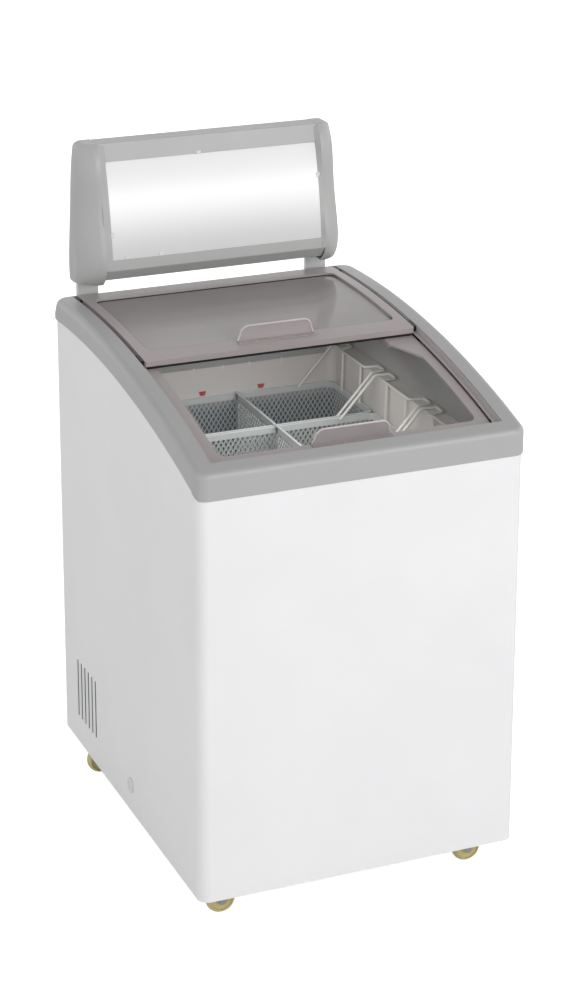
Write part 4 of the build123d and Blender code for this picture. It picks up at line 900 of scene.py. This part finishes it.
class FREEZER_OT_stage(bpy.types.Operator):
    """Makes the floor, the lights and the camera"""

    bl_idname = "freezer.stage"
    bl_label = "Stage"

    def execute(self, context):
        settings = context.scene.freezer_stage
        self.floor(settings)
        self.lights(context, settings)
        self.camera(context, settings)
        context.scene.view_settings.view_transform = "Standard"
        return {"FINISHED"}

    def floor(self, settings):
        half = settings.floor_size / 2
        shape = bmesh.new()
        shape.faces.new([shape.verts.new((a * half, b * half, 0)) for a, b in CORNERS])
        floor = from_bmesh("floor", shape)
        material, tree, shader = principled("floor_paint")
        grain = grain_node(tree, *FLOOR_GRAIN)
        tree.links.new(grain.outputs["Normal"], shader.inputs["Normal"])
        shader.inputs["Base Color"].default_value = linear(settings.floor_colour)
        shader.inputs["Roughness"].default_value = FLOOR_ROUGHNESS
        shader.inputs["Specular IOR Level"].default_value = FLOOR_SPECULAR
        shader.inputs["Emission Color"].default_value = WHITE
        view = tree.nodes.new("ShaderNodeLightPath")
        glow = tree.nodes.new("ShaderNodeMath")
        glow.operation = "MULTIPLY"
        glow.inputs[1].default_value = settings.floor_glow
        tree.links.new(view.outputs["Is Camera Ray"], glow.inputs[0])
        tree.links.new(glow.outputs["Value"], shader.inputs["Emission Strength"])
        coat(floor, material)

    def lights(self, context, settings):
        self.room(context, settings)
        self.lamp("key", settings.key, settings.key_size, KEY_PLACE, KEY_TARGET)
        tub = self.lamp("tub", settings.tub, settings.tub_size, TUB_PLACE, TUB_TARGET)
        tub.visible_camera = False

    def lamp(self, name, power, size, place, target):
        """A square soft lamp at a place, turned to its target."""
        data = bpy.data.lights.new(name, "AREA")
        data.energy = power
        data.shape = "SQUARE"
        data.size = size
        lamp = add_object(name, data)
        lamp.location = place
        aim = Vector(target) - Vector(place)
        lamp.rotation_euler = aim.to_track_quat("-Z", "Y").to_euler()
        return lamp

    def room(self, context, settings):
        """Even light all round, weaker from above, and a white backdrop to the camera."""
        world = bpy.data.worlds.new("Room")
        world.use_nodes = True
        nodes, links = world.node_tree.nodes, world.node_tree.links
        background = nodes["Background"]
        background.inputs["Color"].default_value = WHITE
        place = nodes.new("ShaderNodeTexCoord")
        split = nodes.new("ShaderNodeSeparateXYZ")
        fade = nodes.new("ShaderNodeMapRange")
        fade.inputs["To Min"].default_value = settings.sky
        fade.inputs["To Max"].default_value = settings.sky * settings.zenith
        view = nodes.new("ShaderNodeLightPath")
        seen = nodes.new("ShaderNodeMath")
        seen.operation = "MAXIMUM"
        links.new(place.outputs["Generated"], split.inputs["Vector"])
        links.new(split.outputs["Z"], fade.inputs["Value"])
        links.new(fade.outputs["Result"], seen.inputs[0])
        links.new(view.outputs["Is Camera Ray"], seen.inputs[1])
        links.new(seen.outputs["Value"], background.inputs["Strength"])
        context.scene.world = world

    def camera(self, context, settings):
        heading, tilt, roll = settings.heading, settings.tilt, settings.roll
        right = Vector((math.cos(heading), -math.sin(heading), 0))
        ahead = Vector((math.sin(heading) * math.cos(tilt), math.cos(heading) * math.cos(tilt),
                        -math.sin(tilt)))
        up = right.cross(ahead)
        side = math.cos(roll) * right + math.sin(roll) * up
        up = math.cos(roll) * up - math.sin(roll) * right
        data = bpy.data.cameras.new("camera")
        data.sensor_fit = "VERTICAL"
        data.sensor_height = SENSOR_HEIGHT
        data.lens = SENSOR_HEIGHT * settings.focal_share
        data.shift_y = settings.shift
        camera = add_object("camera", data)
        camera.matrix_world = Matrix.Translation(settings.camera_place) @ Matrix(
            (side, up, -ahead)).transposed().to_4x4()
        context.scene.camera = camera


# ---------------------------------------------------------------- cabinet and rim


# Painted shadow strips at the louvres' open edges: where the first one stands, its middle height,
# its inset and its depth
SLIT_FIRST_Y = 168 * MM + SHIFT
SLIT_MIDDLE_Z = CASTOR_HEIGHT + 108.5 * MM
SLIT_INSET, SLIT_DEPTH = 2.45 * MM, 0.5 * MM
TUB_WALL_Y = 287 * MM + SHIFT
MARK_DEPTH = 0.4 * MM
# Outlines and places on the tub's rear wall in millimetres: X, and height
MARK_OUTLINE = ((-4.5, -4), (4.5, -4), (7, 4), (-7, 4))
MARK_PLACES = ((-30, 626), (82, 626))
TICK_OUTLINE = ((-1.2, -5), (1.2, -5), (1.2, 5), (-1.2, 5))
TICK_PLACES = ((-46, 670), (9, 670), (60, 670), (122, 670))


class FREEZER_OT_cabinet(bpy.types.Operator):
    """Dresses the shell, the back, the pan and the parts hidden between them"""

    bl_idname = "freezer.cabinet"
    bl_label = "Cabinet"

    def execute(self, context):
        edges = context.scene.freezer_edges
        dress("outer_shell", finish("shell_enamel"), edges.sheet)
        self.slits(context.scene.freezer_vents)
        for node in ("back_panel", "bay_cover"):
            dress(node, finish("back_enamel"), edges.sheet)
        dress("cover_screws", finish("screw_steel"), edges.sheet)
        dress("base_pan", finish("zinc"), edges.sheet)
        dress("drain_plug", finish("plug_plastic"), edges.sheet)
        paint("drain_tube", finish("white_plastic"))
        paint("insulation", finish("foam"))
        paint("evaporator_coil", finish("copper"))
        return {"FINISHED"}

    def slits(self, sizes):
        """Painted shadow: dark strips on both sides that stand for the shade in the louvres' open
        edges.
        """
        shadow = finish("bay_shadow")
        low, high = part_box("outer_shell")
        rows = []
        for x in (low[0] + SLIT_INSET, high[0] - SLIT_INSET):
            row = grown("slits", "row", {
                "Count": sizes.count, "Pitch": sizes.pitch,
                "Block": (SLIT_DEPTH, sizes.slit, sizes.length), "Material": shadow})
            start = Vector((x, SLIT_FIRST_Y, SLIT_MIDDLE_Z))
            rows.append(mapped(row, lambda *place: start + Vector(place)))
        slits = coat(joined("louvre_slits", rows), shadow)
        seat(slits, body_of("outer_shell"), SLOT_OF["outer_shell"])


class FREEZER_OT_rim(bpy.types.Operator):
    """Dresses the moulded rim, the lids' tracks and the collar below them"""

    bl_idname = "freezer.rim"
    bl_label = "Rim"

    def execute(self, context):
        edges = context.scene.freezer_edges
        dress("top_rim", finish("rim_plastic"), edges.moulded)
        dress("lid_tracks", finish("track_plastic"), edges.sheet)
        dress("neck_collar", finish("collar_plastic"), edges.sheet)
        return {"FINISHED"}


class FREEZER_OT_liner(bpy.types.Operator):
    """Dresses the tub and adds the fill marks on its rear wall"""

    bl_idname = "freezer.liner"
    bl_label = "Liner"

    def execute(self, context):
        dress("inner_liner", tub_skin_with_painted_shade(), context.scene.freezer_edges.moulded)
        self.patches("fill_marks", MARK_OUTLINE, MARK_PLACES, "fill_mark")
        self.patches("wall_ticks", TICK_OUTLINE, TICK_PLACES, "clip_plastic")
        return {"FINISHED"}

    def patches(self, name, outline, places, finish_name):
        """Thin raised patches on the rear wall, as one piece."""
        shapes = []
        for x, rise in places:
            shapes.append(lofted("patch", [
                [((x + a) * MM, TUB_WALL_Y - depth, CASTOR_HEIGHT + (rise + b) * MM)
                 for a, b in outline] for depth in (0.0, MARK_DEPTH)]))
        seat(coat(joined(name, shapes), finish(finish_name)), body_of("inner_liner"),
             SLOT_OF["inner_liner"])


# ---------------------------------------------------------------- lids


# The box that takes away the lower lid's rear rail, and how far its pane then reaches back
RAIL_LEFT, RAIL_RIGHT = -222 * MM, 187 * MM
RAIL_FRONT, RAIL_REAR = -46 * MM + SHIFT, 16 * MM + SHIFT
RAIL_HEIGHTS = (0.7, 0.95)
PANE_GROWTH = 23 * MM
# The grip's foot: a strip on the lid, and how far the lip's ends lean in over its height
GRIP_FOOT_REACH, GRIP_FOOT_HEIGHT, GRIP_FOOT_EDGE = 12 * MM, 2 * MM, 0.5 * MM
GRIP_FOOT_LEAN = 1.5 * MM
GRIP_CREST = 0.5 * MM
# The outline of the gasket and its painted shadow, its width at the sides, and its underside and
# top over the pane
GASKET_HALF, GASKET_CORNER = 225 * MM, 14 * MM
GASKET_FRONT, GASKET_REAR = 28 * MM, 300 * MM
GASKET_SIDE, GASKET_LOW, GASKET_HIGH = 1.2 * MM, 0.1 * MM, 0.7 * MM


class FREEZER_OT_lids(bpy.types.Operator):
    """Dresses both sliding lids"""

    bl_idname = "freezer.lids"
    bl_label = "Lids"

    def execute(self, context):
        edges = context.scene.freezer_edges
        for lid, reshape in (("upper", None), ("lower", self.cut_rail)):
            dress(f"{lid}_lid_frame", finish("lid_plastic"), edges.moulded, reshape)
            self.grip(context.scene.freezer_lids, lid)
            dress(f"{lid}_lid_glides", finish("black_plastic"), edges.sheet)
        dress("upper_lid_glass", pane_glass("hazy_pane"), edges.glass)
        dress("lower_lid_glass", pane_glass("clear_pane"), edges.glass, self.longer_pane)
        dress("lid_brush_seal", finish("brush_pile"), edges.sheet)
        self.gasket(context.scene.freezer_lids)
        return {"FINISHED"}

    def cut_rail(self, piece):
        """Takes the lower lid's rear rail away, left of the web: its pane ends bare."""
        cutter = lofted("cutter", [
            [(RAIL_LEFT, RAIL_FRONT, z), (RAIL_RIGHT, RAIL_FRONT, z),
             (RAIL_RIGHT, RAIL_REAR, z), (RAIL_LEFT, RAIL_REAR, z)] for z in RAIL_HEIGHTS])
        cut = piece.modifiers.new("Cut", "BOOLEAN")
        cut.operation = "DIFFERENCE"
        cut.solver = "EXACT"
        cut.object = cutter
        piece = plain(piece)
        bpy.data.objects.remove(cutter)
        return piece

    def longer_pane(self, piece):
        """Carries the rear edge of the lower pane back under the upper lid."""
        for vertex in piece.data.vertices:
            x, y, z = vertex.co
            if y > RAIL_FRONT:
                radius = math.hypot(y - ARCH_Y, z - ARCH_Z)
                y += PANE_GROWTH
                vertex.co = (x, y, ARCH_Z + math.sqrt(radius ** 2 - (y - ARCH_Y) ** 2))
        return piece

    def grip(self, sizes, lid):
        """A clear finger lip with a rolled edge, standing where the CAD's lip stands; the rolled
        edge is paler than the lip as a painted highlight.
        """
        node = f"{lid}_lid_grip"
        radii = [(math.hypot(vertex.co.y - ARCH_Y, vertex.co.z - ARCH_Z), vertex.co)
                 for vertex in frame["nodes"][node].data.vertices]
        foot = min(radius for radius, place in radii)
        top = max(radius for radius, place in radii)
        crest = [place for radius, place in radii if radius > top - GRIP_CREST]
        middle = sum(crest, Vector()) / len(crest)
        up = Vector((0, middle.y - ARCH_Y, middle.z - ARCH_Z)).normalized()
        ahead = Vector((0, -up.z, up.y))

        def at(x, rise, forward):
            return Vector((x, ARCH_Y, ARCH_Z)) + up * (foot + rise) + ahead * forward

        line = self.lip(sizes)
        half = sizes.grip_sheet / 2
        plate = lofted("plate", [[at(x, rise, forward) for x, rise in line]
                                 for forward in (half, -half)])
        base = sizes.grip_base
        strip = ((-base, 0), (base, 0), (base, GRIP_FOOT_HEIGHT), (-base, GRIP_FOOT_HEIGHT))
        pad = lofted("pad", [[at(x, rise, forward) for x, rise in strip]
                             for forward in (GRIP_FOOT_REACH, -half)])
        edge = wire("edge", [at(x, rise, 0) for x, rise in line[1:-1]], sizes.bead)
        seat(coat(joined(f"{node}_shown", [plate, rounded(pad, GRIP_FOOT_EDGE)]),
                  pane_glass("grip_clear")), body_of(node), SLOT_OF[node], node)
        seat(coat(joined(f"{node}_edge", [edge]), finish("bead_plastic")),
             body_of(node), SLOT_OF[node])

    def lip(self, sizes, steps=10):
        """The lip's outline from its right foot over the top to its left foot."""
        half = []
        centre_x, centre_rise = sizes.grip_top - sizes.shoulder, sizes.grip_height - sizes.shoulder
        for step in range(steps + 1):
            turn = math.pi / 2 * step / steps
            half.append((centre_x + sizes.shoulder * math.cos(turn),
                         centre_rise + sizes.shoulder * math.sin(turn)))
        half.insert(0, (sizes.grip_base - GRIP_FOOT_LEAN, GRIP_FOOT_HEIGHT))
        half.insert(0, (sizes.grip_base, 0))
        return half + [(-x, rise) for x, rise in reversed(half)]

    def gasket(self, sizes):
        """Dark gasket ring between the upper frame and its pane, widened at the rear into painted
        shadow under the frame's rear bar.
        """
        top = max(math.hypot(vertex.co.y - ARCH_Y, vertex.co.z - ARCH_Z)
                  for vertex in frame["nodes"]["upper_lid_glass"].data.vertices)
        rings = []
        for side, rear_side, lift in ((0, 0, GASKET_LOW), (0, 0, GASKET_HIGH),
                                      (GASKET_SIDE, sizes.gasket, GASKET_HIGH),
                                      (GASKET_SIDE, sizes.gasket, GASKET_LOW)):
            ring = []
            for x, y in round_rectangle(GASKET_HALF - side, GASKET_FRONT + side,
                                        GASKET_REAR - rear_side, GASKET_CORNER):
                drop = y + SHIFT - ARCH_Y
                ring.append((x, y + SHIFT, ARCH_Z + math.sqrt((top + lift) ** 2 - drop ** 2)))
            rings.append(ring)
        seat(coat(smooth(lofted("upper_lid_gasket", rings, looped=True)),
                  finish("gasket_rubber")), body_of("upper_lid_glass"),
             SLOT_OF["lid_brush_seal"])


# ---------------------------------------------------------------- baskets


# Where the hanger wires run: the upright part, the ledge, and the foot of the slanting brace
HANGER_X, LEDGE_X, BRACE_X = 218.7 * MM, 244 * MM, 152 * MM
HANGER_LOW, HANGER_HIGH = -3.2 * MM, 69.8 * MM
HOOK_WIDTH, HANGER_BEND = 24 * MM, 5.5 * MM
DIVIDER_GAP, DIVIDER_FLOOR_GAP = 2 * MM, 3 * MM
DIVIDER_HALF_BAR, DIVIDER_POST, DIVIDER_SILL = 1.2 * MM, 7 * MM, 6 * MM
DIVIDER_TOP_LIFT, DIVIDER_BAR_EDGE = 0.3 * MM, 0.4 * MM
# The strip over the basket's rims: half its width, its underside, its top, its reach, its edge
HOOK_HALF, HOOK_LOW, HOOK_HIGH = 2.5 * MM, 0.3 * MM, 2.8 * MM
HOOK_REACH, HOOK_EDGE = 2.5 * MM, 0.6 * MM


class FREEZER_OT_baskets(bpy.types.Operator):
    """Makes the hanging baskets of expanded mesh, their wires and their dividers"""

    bl_idname = "freezer.baskets"
    bl_label = "Baskets"

    def execute(self, context):
        sizes = context.scene.freezer_baskets
        coating = finish("basket_coat")
        for index, name in enumerate(("rear", "middle", "front")):
            middle = Vector((0, sizes.first_y - index * sizes.pitch + SHIFT,
                             CASTOR_HEIGHT + sizes.rim_rise))
            body = f"{name}_basket"
            walls = self.walls(sizes, name, middle, coating)
            floor = self.floor(sizes, name, middle, coating)
            mesh = coat(joined(f"{name}_basket_mesh", [walls, floor]), coating)
            seat(mesh, body, SLOT_OF[body], body)
            frame_parts = [self.rim(sizes, name, middle), self.foot(sizes, name, middle)]
            seat(coat(joined(f"{name}_basket_frame", frame_parts), coating), body, SLOT_OF[body])
            wires = joined(f"{name}_basket_wires", self.hangers(sizes, name, middle))
            seat(coat(wires, finish("wire_coat")), body, SLOT_OF[body])
            if index < 2:
                self.divider(sizes, name, middle, coating, body)
        return {"FINISHED"}

    def outline(self, sizes, inset, grow=0.0):
        """Points of the basket's rounded outline, anticlockwise from the front right corner."""
        half_y = sizes.half_depth - inset + grow
        return [Vector((x, y, 0)) for x, y in round_rectangle(
            sizes.half_length - inset + grow, -half_y, half_y, sizes.corner + grow)]

    def sheet(self, sizes, name, wide, tall, coating):
        """A flat sheet of whole diamonds, as near as they come to the given cells."""
        columns, rows = round(wide / sizes.cell_width), round(tall / sizes.cell_height)
        return grown(name, "diamond", {
            "Columns": columns, "Rows": rows, "Cell Width": wide / columns,
            "Cell Height": tall / rows, "Strand": sizes.strand, "Sheet": sizes.sheet,
            "Material": coating})

    def walls(self, sizes, name, middle, coating):
        """The four walls as one strip of mesh wrapped round the outline."""
        ring = self.outline(sizes, 0.0)
        lengths = [0.0]
        for start, end in zip(ring, ring[1:] + ring[:1]):
            lengths.append(lengths[-1] + (end - start).length)
        around = lengths[-1]
        strip = self.sheet(sizes, f"{name}_walls", around, sizes.height, coating)
        half_x, half_y = sizes.half_length, sizes.half_depth

        def place(u, v, out):
            run = (u + around / 2) % around
            index = max(i for i, length in enumerate(lengths[:-1]) if length <= run + 1e-9)
            start, end = ring[index], ring[(index + 1) % len(ring)]
            span = end - start
            along = start + span * ((run - lengths[index]) / max(span.length, 1e-9))
            normal = Vector((span.y, -span.x, 0)).normalized()
            fall = (sizes.height / 2 - v) / sizes.height
            lean = sizes.taper * fall
            x = along.x * (half_x - lean) / half_x
            y = along.y * (half_y - lean) / half_y
            return middle + Vector((x, y, -fall * sizes.height)) + normal * out

        return mapped(strip, place)

    def floor(self, sizes, name, middle, coating):
        """The basket's mesh floor."""
        wide = 2 * (sizes.half_length - sizes.taper) - sizes.corner
        deep = 2 * (sizes.half_depth - sizes.taper) - sizes.corner
        sheet = self.sheet(sizes, f"{name}_floor", wide, deep, coating)
        return mapped(sheet, lambda u, v, out: middle + Vector((u, v, out - sizes.height)))

    def band(self, name, sizes, middle, profile):
        """A solid band round the basket; its profile's corners are (outwards, down)."""
        rings = []
        for outwards, down in profile:
            inset = sizes.taper * down / sizes.height
            rings.append([middle + point + Vector((0, 0, -down))
                          for point in self.outline(sizes, inset, outwards)])
        return lofted(name, rings, looped=True)

    def rim(self, sizes, name, middle):
        """Plain band with a rolled top edge."""
        down = sizes.band
        profile = ((-1.2 * MM, 0.6 * MM), (-0.6 * MM, 0.0), (1.8 * MM, 0.0), (2.5 * MM, 0.7 * MM),
                   (2.5 * MM, 4.5 * MM), (1.8 * MM, 5.2 * MM), (0.8 * MM, 5.4 * MM),
                   (0.8 * MM, down), (-1.2 * MM, down))
        return self.band(f"{name}_rim", sizes, middle, profile)

    def foot(self, sizes, name, middle):
        """The folded strip where the walls meet the floor."""
        low = sizes.height
        profile = ((-0.2 * MM, low - 5 * MM), (0.9 * MM, low - 5 * MM),
                   (0.9 * MM, low - 1 * MM), (-0.5 * MM, low + 0.2 * MM),
                   (-11 * MM, low + 0.2 * MM), (-11 * MM, low - 0.9 * MM),
                   (-1.5 * MM, low - 0.9 * MM))
        return self.band(f"{name}_foot", sizes, middle, profile)

    def hangers(self, sizes, name, middle):
        """The bent wires at both ends that hook over the tub's ledge."""
        low, high = HANGER_LOW, HANGER_HIGH
        end_y = sizes.half_depth - sizes.wire
        # How far each bend lies from the basket's end, in widths of the hook
        bends = ((BRACE_X, 0.0, low), (HANGER_X, 0.0, high), (LEDGE_X, 0.2, high),
                 (LEDGE_X, 1.2, high), (HANGER_X, 1.4, high))
        wires = []
        for side in (-1, 1):
            half = [(side * x, end_y - share * HOOK_WIDTH, z) for x, share, z in bends]
            points = half + [(x, -y, z) for x, y, z in reversed(half)]
            path = [middle + point for point in bent(points, HANGER_BEND)]
            wires.append(wire(f"{name}_hanger", path, sizes.wire))
            for end in (-1, 1):
                y = end * (end_y - 2 * HOOK_WIDTH)
                foot = Vector((side * (sizes.half_length - sizes.wire), y, low))
                head = Vector((side * HANGER_X, y, high))
                wires.append(wire(f"{name}_upright", [middle + foot, middle + head], sizes.wire))
        return wires

    def divider(self, sizes, name, middle, coating, body):
        """A cross panel of the same mesh in a folded frame, hooked over the rim."""
        half_y = sizes.half_depth - DIVIDER_GAP
        height = sizes.height - DIVIDER_FLOOR_GAP
        sheet = self.sheet(sizes, f"{name}_divider_sheet", 2 * half_y, height, coating)

        def lean(y, down):
            return y * (half_y - sizes.taper * down / sizes.height) / half_y

        def place(u, v, out):
            down = height / 2 - v
            return middle + Vector((sizes.divider_x + out, lean(u, down), -down))

        mapped(sheet, place)
        bars = []
        for y_low, y_high, top, low in (
                (-half_y, half_y, -DIVIDER_TOP_LIFT, sizes.band),
                (-half_y, -half_y + DIVIDER_POST, 0.0, height),
                (half_y - DIVIDER_POST, half_y, 0.0, height),
                (-half_y, half_y, height - DIVIDER_SILL, height)):
            corners = ((y_low, low), (y_high, low), (y_high, top), (y_low, top))
            bar = lofted(f"{name}_divider_bar", [
                [middle + Vector((sizes.divider_x + x, lean(y, down), -down))
                 for y, down in corners] for x in (-DIVIDER_HALF_BAR, DIVIDER_HALF_BAR)])
            bars.append(rounded(bar, DIVIDER_BAR_EDGE))
        reach = sizes.half_depth + HOOK_REACH
        corners = ((-HOOK_HALF, HOOK_LOW), (HOOK_HALF, HOOK_LOW), (HOOK_HALF, HOOK_HIGH),
                   (-HOOK_HALF, HOOK_HIGH))
        hook = lofted(f"{name}_divider_hook", [
            [middle + Vector((sizes.divider_x + x, y, z)) for x, z in corners]
            for y in (-reach, reach)])
        bars.append(rounded(hook, HOOK_EDGE))
        panel = coat(joined(f"{name}_divider_mesh", [sheet, *bars]), coating)
        seat(panel, body, SLOT_OF[f"{name}_divider"], f"{name}_divider")


# ---------------------------------------------------------------- light box


# The strips beside the panel: their heights, and where each runs from and to
BEZEL_LOW, BEZEL_HIGH = CASTOR_HEIGHT + 873 * MM, CASTOR_HEIGHT + 1085 * MM
BEZELS = (("left", -193 * MM, -205.6 * MM), ("right", 199 * MM, 205.6 * MM))
BEZEL_EDGE = 0.3 * MM
# How far a strip stands in front of the panel, lies behind the cap's front, and is thick
BEZEL_PROUD, CAP_RECESS, BEZEL_WALL, BEZEL_SINK = 0.9 * MM, 0.2 * MM, 2.0 * MM, 1.0 * MM
# A strip always stands this far in front of the panel at the cap, whose front is found this
# much further out
CAP_PROUD, CAP_SHARE = 1.1 * MM, 1.008
# The clips in millimetres: X, height, width, tallness
CLIPS = ((-191, 934, 6, 9), (199, 1001, 6, 9), (-166, 893, 8, 6), (-104, 893, 8, 6),
         (-22, 1060, 8, 6))
CLIP_PROUD, CLIP_DEPTH, CLIP_EDGE = 1.6 * MM, 2.4 * MM, 0.5 * MM
# The panel's face ends here, so a clip above it takes its depth from here
PANEL_TOP = 1055


class FREEZER_OT_light_box(bpy.types.Operator):
    """Dresses the light box, its lamp and its posts"""

    bl_idname = "freezer.light_box"
    bl_label = "Light box"

    def execute(self, context):
        edges = context.scene.freezer_edges
        for node in ("light_box_top_rail", "light_box_bottom_rail", "light_box_cap_left",
                     "light_box_cap_right", "light_box_back"):
            dress(node, finish("sign_plastic"), edges.moulded)
        dress("light_box_panel", lit_acrylic(), edges.glass)
        self.bezels()
        self.clips()
        for node in ("sign_post_left", "sign_post_right"):
            dress(node, finish("post_enamel"), edges.sheet)
        for node in ("lamp_tube", "lamp_holders", "lamp_ballast"):
            paint(node, finish("white_plastic"))
        return {"FINISHED"}

    def bezels(self, steps=24):
        """Grey strips beside the opal panel, which run out to the caps' front edges."""
        face = search_tree("light_box_top_rail", "light_box_bottom_rail", "light_box_panel")
        for hand, inner, outer in BEZELS:
            cap = search_tree(f"light_box_cap_{hand}")
            rings = []
            for step in range(steps + 1):
                z = BEZEL_LOW + (BEZEL_HIGH - BEZEL_LOW) * step / steps
                face_y = front_of(face, inner, z)
                cap_y = min(front_of(cap, outer * CAP_SHARE, z), face_y - CAP_PROUD) + CAP_RECESS
                rings.append([(inner, face_y - BEZEL_PROUD, z), (outer, cap_y, z),
                              (outer, cap_y + BEZEL_WALL, z), (inner, face_y + BEZEL_SINK, z)])
            strip = rounded(lofted(f"light_box_bezel_{hand}", rings), BEZEL_EDGE)
            seat(coat(strip, finish("sign_plastic")), body_of("light_box_panel"),
                 SLOT_OF["light_box_top_rail"])

    def clips(self):
        """Small pale clips along the panel's edges."""
        panel = search_tree("light_box_panel")
        clips = []
        for x, rise, wide, tall in CLIPS:
            y = front_of(panel, x * MM, CASTOR_HEIGHT + min(rise, PANEL_TOP) * MM) - CLIP_PROUD
            z = CASTOR_HEIGHT + rise * MM
            rings = [[(x * MM + a * wide * MM / 2, y + depth, z + b * tall * MM / 2)
                      for a, b in CORNERS] for depth in (0.0, CLIP_DEPTH)]
            clips.append(rounded(lofted("clip", rings), CLIP_EDGE))
        seat(coat(joined("light_box_clips", clips), finish("clip_plastic")),
             body_of("light_box_panel"), SLOT_OF["lamp_holders"])


# ---------------------------------------------------------------- castors, machine bay, fittings


class FREEZER_OT_castors(bpy.types.Operator):
    """Dresses the four castors and their plates"""

    bl_idname = "freezer.castors"
    bl_label = "Castors"

    def execute(self, context):
        edges = context.scene.freezer_edges
        dress("castor_plates", finish("zinc"), edges.sheet)
        for corner in ("front_left", "front_right", "rear_left", "rear_right"):
            dress(f"castor_fork_{corner}", finish("zinc"), edges.sheet)
            dress(f"castor_wheel_{corner}", finish("wheel_nylon"), edges.sheet)
        return {"FINISHED"}


class FREEZER_OT_machine(bpy.types.Operator):
    """Dresses the refrigeration parts in the machine bay"""

    bl_idname = "freezer.machine"
    bl_label = "Machine bay"

    def execute(self, context):
        edge = context.scene.freezer_edges.sheet
        for node, name in (("compressor", "black_enamel"), ("compressor_grommets", "rubber"),
                           ("relay_box", "black_plastic"), ("condenser", "fin_metal"),
                           ("fan_shroud", "zinc"), ("fan_motor", "black_enamel"),
                           ("fan_blades", "black_plastic"), ("filter_drier", "copper"),
                           ("thermostat", "white_plastic"), ("cable_gland", "black_plastic")):
            dress(node, finish(name), edge)
        return {"FINISHED"}


DIAL_TICKS, DIAL_RADIUS, DIAL_SWEEP = 7, 22 * MM, math.radians(270)
DIAL_START = math.radians(-45)
TICK_SIZE, TICK_LIFT = (4 * MM, 0.9 * MM, 0.3 * MM), 0.15 * MM


class FREEZER_OT_knob(bpy.types.Operator):
    """Dresses the thermostat's knob and adds the ticks of its dial"""

    bl_idname = "freezer.knob"
    bl_label = "Thermostat knob"

    def execute(self, context):
        dress("thermostat_knob", finish("black_plastic"), context.scene.freezer_edges.sheet)
        ticks = grown("dial_ticks", "dial", {
            "Count": DIAL_TICKS, "Radius": DIAL_RADIUS, "Sweep": DIAL_SWEEP, "Tick": TICK_SIZE,
            "Material": finish("pad_print")})
        low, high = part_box("thermostat_knob")
        middle = (Vector(low) + Vector(high)) / 2
        face_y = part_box("bay_cover")[1][1]

        def place(u, v, out):
            x = u * math.cos(DIAL_START) - v * math.sin(DIAL_START)
            z = u * math.sin(DIAL_START) + v * math.cos(DIAL_START)
            return Vector((middle.x - x, face_y + TICK_LIFT + out, middle.z + z))

        mapped(ticks, place)
        seat(coat(ticks, finish("pad_print")), body_of("bay_cover"), SLOT_OF["thermostat_knob"])
        return {"FINISHED"}


OPERATORS = (FREEZER_OT_stage, FREEZER_OT_cabinet, FREEZER_OT_rim, FREEZER_OT_liner,
             FREEZER_OT_lids, FREEZER_OT_baskets, FREEZER_OT_light_box, FREEZER_OT_castors,
             FREEZER_OT_machine, FREEZER_OT_knob)
SETTINGS = {"freezer_stage": FreezerStage, "freezer_finishes": FreezerFinishes,
            "freezer_lids": FreezerLids, "freezer_vents": FreezerVents,
            "freezer_baskets": FreezerBaskets, "freezer_edges": FreezerEdges}


class FREEZER_PT_panel(bpy.types.Panel):
    """Lists the freezer's pieces and their sizes"""

    bl_label = "Ice cream freezer"
    bl_idname = "FREEZER_PT_panel"
    bl_space_type = "VIEW_3D"
    bl_region_type = "UI"
    bl_category = "Freezer"

    def draw(self, context):
        for operator in OPERATORS:
            self.layout.operator(operator.bl_idname)
        for name, group in SETTINGS.items():
            box = self.layout.box()
            for key in group.__annotations__:
                box.prop(getattr(context.scene, name), key)


def register():
    for cls in (*SETTINGS.values(), *OPERATORS, FREEZER_PT_panel):
        bpy.utils.register_class(cls)
    for name, group in SETTINGS.items():
        setattr(bpy.types.Scene, name, bpy.props.PointerProperty(type=group))


def unregister():
    for name in SETTINGS:
        delattr(bpy.types.Scene, name)
    for cls in reversed((*SETTINGS.values(), *OPERATORS, FREEZER_PT_panel)):
        bpy.utils.unregister_class(cls)


def main():
    """Makes every piece in order."""
    register()
    for operator in OPERATORS:
        group, name = operator.bl_idname.split(".")
        getattr(getattr(bpy.ops, group), name)()


if __name__ == "__main__":
    main()
